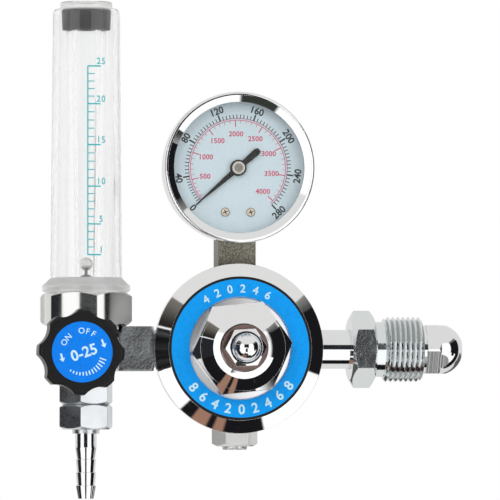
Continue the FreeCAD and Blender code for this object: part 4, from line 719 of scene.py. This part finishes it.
def clear_plastic(tint, gloss, haze, flow=0.002, milky=None):
    """Clear moulded plastic: faint flow lines, fine scratches, and edges that look milky, as it does where
    milky is 1. Light for the pieces behind passes it unbent."""

    def recipe(place):
        rub = grain(place, 2.5, 4).rise(0.45, 0.8)
        lie = bumped(place, grain(place, 7, 1) * (flow * MM))
        sockets = {
            "Base Color": (*tint, 1),
            "Roughness": gloss + rub * (0.3 * gloss),
            "IOR": 1.49,
            "Transmission Weight": 1.0,
            "Normal": lie,
        }
        clear = place.node("ShaderNodeBsdfPrincipled", None, sockets)
        milk_white = {"Color": (0.90, 0.90, 0.895, 1)}
        through = place.node("ShaderNodeBsdfTranslucent", None, milk_white)
        back = place.node("ShaderNodeBsdfDiffuse", None, milk_white)
        milk = place.node("ShaderNodeMixShader", None, {0: 0.5, 1: through, 2: back})
        edge = place.node("ShaderNodeLayerWeight", None, {"Blend": 0.35}, out=1)
        cloud = edge * haze + rub * (haze * 0.03) + haze * 0.05
        if milky:
            cloud = cloud + milky(place)
        body = place.node("ShaderNodeMixShader", None, {0: cloud, 1: clear, 2: milk})
        passing = place.node("ShaderNodeBsdfTransparent", None, {"Color": (*tint, 1)})
        shadow = place.node("ShaderNodeLightPath", out="Is Shadow Ray")
        return place.node("ShaderNodeMixShader", None, {0: shadow, 1: body, 2: passing})

    return recipe


window = finish_of("clear_window", clear_plastic((1, 1, 1), 0.006, 0.0, 0.001))
wear("gauge_lens", window)


# Dial: a painted aluminium plate, pale blue, printed with a black scale to 280 outside and a red one to
# 4000 inside, on one circle. Two cross-headed screws hold it on the socket block.
DIAL_FRONT = 8.5
FULL_SCALE = 280
INNER_FULL_SCALE = FULL_SCALE / 0.0689476
CIRCLE_OUTER = 17.4
CIRCLE_INNER = 16.8
ZERO_ANGLE = 221.5
FORTY_ANGLE = 190.0
LAST_ANGLE = -47.0
dial_blue = finish_of("dial_paint", printed(ink(228, 246, 253), 0.45, 0.02))
dial_black = finish_of("dial_black", printed(ink(40, 52, 58), 0.5))
dial_red = finish_of("dial_red", printed(ink(226, 78, 118), 0.5))
dial_plum = finish_of("dial_plum", printed(ink(176, 92, 128), 0.5))
wear("gauge_dial", dial_blue)


def cross_slot(place):
    """The cross in each head is darker."""
    return (1 - (place.split()[1] * -1000).rise(8.8, 8.93)) * 0.9


screw_brass = plated((0.76, 0.68, 0.54), 0.2, edge=0.05, darkening=cross_slot)
wear("dial_screws", finish_of("screw_brass", screw_brass))
dial = on_face(0, GAUGE_Z, DIAL_FRONT + 0.02)


def dial_angle(value, full=FULL_SCALE):
    """The scale is a little closed up below its first figure, where the needle rests on its stop."""
    share = value / full * 7
    if share < 1:
        return ZERO_ANGLE + (FORTY_ANGLE - ZERO_ANGLE) * share
    return FORTY_ANGLE + (LAST_ANGLE - FORTY_ANGLE) * (share - 1) / 6


def tick(width, low, high, angle):
    return (bar(width, high - low), polar((low + high) / 2, angle, angle - 90))


black_marks = []
for k in range(71):
    width, tip = (0.30, 18.75) if k % 10 else (0.55, 19.7)
    black_marks.append(tick(width, 17.5, tip, dial_angle(4 * k)))
for value in range(0, FULL_SCALE + 1, 40):
    angle = dial_angle(value)
    turn = angle - 90 if 20 < angle < 160 else angle + 90
    black_marks.append((glyph(str(value), 2.45, 0.09), polar(21.15, angle, turn)))
print_marks("dial_print_black", black_marks, dial, "regulator", dial_black)
red_marks = []
for k in range(41):
    width, foot = (0.16, 15.7) if k % 5 else (0.34, 14.4)
    red_marks.append(tick(width, foot, CIRCLE_INNER, dial_angle(100 * k, INNER_FULL_SCALE)))
for value in range(500, 4001, 500):
    angle = dial_angle(value, INNER_FULL_SCALE)
    red_marks.append((glyph(str(value), 1.8, 0.055, 1.05), polar(12.0, angle, 0)))
print_marks("dial_print_red", red_marks, dial, "regulator", dial_red)


def arc_line(radius, width, start, stop, thick=0.02):
    """A thin printed arc on the dial."""
    count = 120
    outer = [radius + width / 2, radius - width / 2]
    points = []
    for side in (0, 1):
        for k in range(count + 1):
            share = k / count if side == 0 else 1 - k / count
            angle = math.radians(stop + (start - stop) * share)
            points.append((outer[side] * math.cos(angle), outer[side] * math.sin(angle)))
    bm = bmesh.new()
    ring = [bm.verts.new((x, y, 0)) for x, y in points]
    for k in range(count):
        bm.faces.new((ring[k], ring[k + 1], ring[2 * count - k], ring[2 * count + 1 - k]))
    made = bmesh.ops.extrude_face_region(bm, geom=bm.faces[:])
    raised = [v for v in made["geom"] if isinstance(v, bmesh.types.BMVert)]
    bmesh.ops.translate(bm, verts=raised, vec=(0, 0, thick))
    bmesh.ops.recalc_face_normals(bm, faces=bm.faces)
    mesh = bpy.data.meshes.new("arc")
    bm.to_mesh(mesh)
    bm.free()
    return mesh


flat = Matrix.Identity(4)
last = dial_angle(FULL_SCALE)
outer_line = arc_line(CIRCLE_OUTER, 0.22, ZERO_ANGLE, last)
inner_line = arc_line(CIRCLE_INNER, 0.24, ZERO_ANGLE, last)
print_marks("dial_circle_outer", [(outer_line, flat)], dial, "regulator", dial_plum)
print_marks("dial_circle_inner", [(inner_line, flat)], dial, "regulator", dial_red)


# Pointer: a stamped steel needle with its tail, sprayed matt black and pressed with its hub on the arbor.
# A small nickel-plated cap, hollow in the middle, closes the hub.
pointer_black = finish_of("pointer_black", printed((0.006, 0.006, 0.007, 1), 0.5, 0.03))
wear("gauge_pointer", pointer_black)
POINTER_FRONT = 10.3
cap_rim = ((1.9, 0.0), (2.25, 0.0), (2.25, 0.05), (2.1, 0.16), (1.7, 0.2))
cap_hollow = ((0.75, 0.22), (0.6, 0.12), (0.01, 0.1), (0.01, 0.0))
rows = []
for radius, rise in cap_rim + cap_hollow:
    rows.append([facing(0, GAUGE_Z, radius, step, POINTER_FRONT + rise) for step in range(0, 360, 10)])


def worn_cap(place):
    """The cap's hollow middle is darker in colour than its rim."""
    x, _, z = place.split()
    return (1 - (((x - HUB_X * MM) ** 2 + (z - GAUGE_Z * MM) ** 2) ** 0.5).rise(1.35 * MM, 1.7 * MM)) * 0.6


cap_nickel = finish_of("cap_nickel", plated((0.62, 0.59, 0.52), 0.22, edge=0.05, darkening=worn_cap))
skin("pointer_cap", rows, "pointer", cap_nickel)


# Gauge works: a square brass socket in dull nickel plate, screwed into the top port, with a bronze tube
# brazed into it that moves the link, the sector and the pinion between two brass plates.
def dull_nickel(place):
    fine = grain(place, 0.5, 4)
    _, _, z = place.split()
    # Darker towards the bottom and in broad blotches.
    low_and_blotchy = (1 - z.rise(0.026, 0.036)) * 0.35 + grain(place, 5, 2) * 0.3
    tone = (fine.rise(0.3, 0.7) - low_and_blotchy).blend((0.16, 0.15, 0.115, 1), (0.46, 0.44, 0.37, 1))
    lie = bumped(place, fine * (0.05 * MM))
    sockets = {"Base Color": tone, "Metallic": 1.0, "Roughness": 0.36 + fine * 0.2, "Normal": lie}
    return place.node("ShaderNodeBsdfPrincipled", None, sockets)


wear("gauge_socket", finish_of("dull_nickel", dull_nickel))
for node in ("bourdon_tube", "movement_frame", "sector_gear", "tip_link", "pointer_arbor", "hairspring"):
    wear(node, brass)


# Outlet block: a square brass forging, plated over its rough skin. It is screwed into the left port and
# carries the flowmeter.
block_skin = plated((0.42, 0.44, 0.45), 0.15, pits=0.032, pit_size=1.0, wave=0.06, edge=0.7)
wear("outlet_block", finish_of("rough_plate", block_skin))


# Flowmeter body and base: a forged barrel with the needle valve's boss, and a hexagon that was faced and
# polished. The base carries the clear cover.
FLOW_X = -52.5
BASE_TURN = 37.4


def pillowed(axis_x, turn, roundness):
    """How far a polishing wheel rounds the flats of an upright hexagon, in metres, by the place on it."""

    def sag(place):
        x, y, _ = place.split()
        out = x - (axis_x + HUB_X) * MM
        angle = y.maths("ARCTAN2", y, out)
        first = math.radians(turn + 30)
        off_flat = angle.maths("WRAP", angle, first + math.pi / 6, first - math.pi / 6) - first
        across = (out ** 2 + y ** 2) ** 0.5 * off_flat.maths("SINE", off_flat)
        return across ** 2 * (-0.5 / (roundness * MM))

    return sag


rounded_flats = pillowed(FLOW_X, BASE_TURN, 20)


def missed_flat(place):
    """The flat at the front right was left satin: the wheel only reached its left edge."""
    across, y, _ = place.node("ShaderNodeTexCoord", out="Normal").split()
    x = place.split()[0]
    edge = (FLOW_X + HUB_X) * MM
    return (across * 0.607 - y * 0.794).rise(0.90, 0.97) * x.rise(edge + 5.5 * MM, edge + 8.5 * MM)


# Painted shade: the satin flat's colour is darkened a little.
def missed_grey(place):
    return missed_flat(place) * 0.3


base_plate = plated(
    (0.82, 0.83, 0.81), 0.12, pits=0.004, pit_size=0.9, wave=0.05,
    sag=rounded_flats, dull=missed_flat, darkening=missed_grey,
)
base_chrome = finish_of("base_chrome", base_plate)
wear("valve_body", chrome)
wear("tube_base", base_chrome)


# Cover and metering tube: clear moulded polycarbonate, the tube with a tapered bore for the float. The
# flow scale is printed in blue-green on the cover.
def thick_ends(place):
    """The cap and the flange are thick enough to look white."""
    high = place.split()[2]
    return (1 - high.rise(24.4 * MM, 25.2 * MM) + high.rise(118.3 * MM, 119.1 * MM)) * 0.45


cover_clear = finish_of("cover_clear", clear_plastic((0.985, 0.985, 0.985), 0.02, 0.30, milky=thick_ends))
tube_clear = finish_of("tube_clear", clear_plastic((0.98, 0.985, 0.985), 0.03, 0.20))
wear("flow_cover", cover_clear)
wear("metering_tube", tube_clear)
scale_ink = finish_of("scale_ink", printed(ink(40, 178, 186), 0.45))
SCALE_HEIGHTS = ((25, 98.5), (20, 85.3), (15, 71.0), (10, 56.5), (5, 43.3), (1, 32.6))


def cover_radius(z):
    return 12.55 - 0.8 * (z - 24.8) / 92.8


SCALE_LIFT = 0.05


def round_cover(place):
    """Wraps a flat print, drawn with its own x and height, on the drafted cover."""
    radius = cover_radius(place.y) + SCALE_LIFT + place.z
    angle = place.x / radius
    return Vector((radius * math.sin(angle), place.y, radius * math.cos(angle)))


def upright(x, y):
    return Matrix.Translation((x, y, 0))


scale_marks = []
SCALE_LINE = -0.7
for (value, high), (following, low) in zip(SCALE_HEIGHTS, SCALE_HEIGHTS[1:] + ((1, None),)):
    scale_marks.append((glyph(str(value), 2.35, 0.04, 1.15), upright(SCALE_LINE + 4.8, high + 1.8)))
    for k in range(max(1, value - following)):
        z = high + (low - high) * k / (value - following) if k else high
        length, width = (2.4, 0.32) if k else (4.7, 0.48)
        for part in range(5):
            scale_marks.append((bar(length / 5, width), upright(SCALE_LINE + length * (part + 0.5) / 5, z)))
top, bottom = SCALE_HEIGHTS[0][1], SCALE_HEIGHTS[-1][1]
scale_marks.append((bar(0.42, top - bottom), upright(SCALE_LINE, (top + bottom) / 2)))
print_marks("flow_scale", scale_marks, on_face(FLOW_X, 0, 0), "regulator", scale_ink, bend=round_cover)


# Float, its stop and the seals: a bright steel ball on a brass stop, a black rubber bung over the tube and
# a gasket under it.
ball_steel = finish_of("ball_steel", plated((0.80, 0.78, 0.75), 0.05, wave=0.0, edge=0.02))
wear("float_ball", ball_steel)
wear("float_stop", finish_of("stop_plate", plated((0.16, 0.155, 0.145), 0.3, edge=0.1)))
wear("top_seal", rubber)
wear("tube_gasket", finish_of("gasket", printed((0.42, 0.42, 0.40, 1), 0.6)))


# Needle valve: a stainless spindle with a ground point, screwed into the valve body's boss and packed with
# white plastic under a plated gland nut.
wear("valve_spindle", finish_of("spindle_steel", plated((0.60, 0.60, 0.60), 0.12, edge=0.05)))
wear("valve_packing", finish_of("packing", printed((0.75, 0.75, 0.73, 1), 0.5)))
wear("valve_gland", chrome)


# Knob: moulded in black plastic with eight lobes, satin where it left the tool, and pushed on the spindle.
# A printed disc is glued in its face.
def moulded_black(place):
    tone = grain(place, 2.0, 3).blend((0.006, 0.006, 0.006, 1), (0.013, 0.013, 0.013, 1))
    rounded = place.node("ShaderNodeBevel", {"samples": 4}, {"Radius": 0.5 * MM})
    lie = bumped(place, grain(place, 0.22, 2) * (0.012 * MM), Normal=rounded)
    sockets = {
        "Base Color": tone,
        "Roughness": 0.26 + grain(place, 1.5) * 0.12,
        "Specular IOR Level": 0.2,
        "Normal": lie,
    }
    return place.node("ShaderNodeBsdfPrincipled", None, sockets)


wear("flow_knob", finish_of("knob_black", moulded_black))
knob_blue = finish_of("knob_blue", printed(ink(0, 128, 240), 0.3))
wear("knob_label", knob_blue)
KNOB_X = -56.7
KNOB_Z = -1.6
DISC_FRONT = 27.9
disc = on_face(KNOB_X, KNOB_Z, DISC_FRONT + INK_LIFT)
disc_marks = arc_of_text("ON", 2.1, 0.02, 7.1, 152, -19, -90)
disc_marks += arc_of_text("OFF", 2.1, 0.02, 7.4, 92, -17, -90)
disc_marks.append((arrow(3.0, 2.0, -1), polar(7.3, 196, 106)))
disc_marks.append((arrow(3.0, 2.0, 1), polar(7.9, 22, -68)))
disc_marks.append((glyph("0-25", 3.8, 0.12), polar(0.6, 350, 19)))
for k in range(13):
    angle = 238 + 8.6 * k
    disc_marks.append((bar(0.45, 0.7 + 0.14 * k), polar(7.6, angle, angle - 90)))
print_marks("knob_print", disc_marks, disc, "knob", label_white)


# Hose connection: union, its nut and the hose tail, turned from bar and plated; the hexagons keep the
# bar's rough skin.
bar_skin = plated((0.78, 0.81, 0.83), 0.26, pits=0.06, pit_size=0.7, wave=0.04, edge=0.25)
hex_plate = finish_of("hex_plate", bar_skin)
wear("outlet_union", hex_plate)
wear("hose_nut", hex_plate)
wear("hose_barb", chrome)
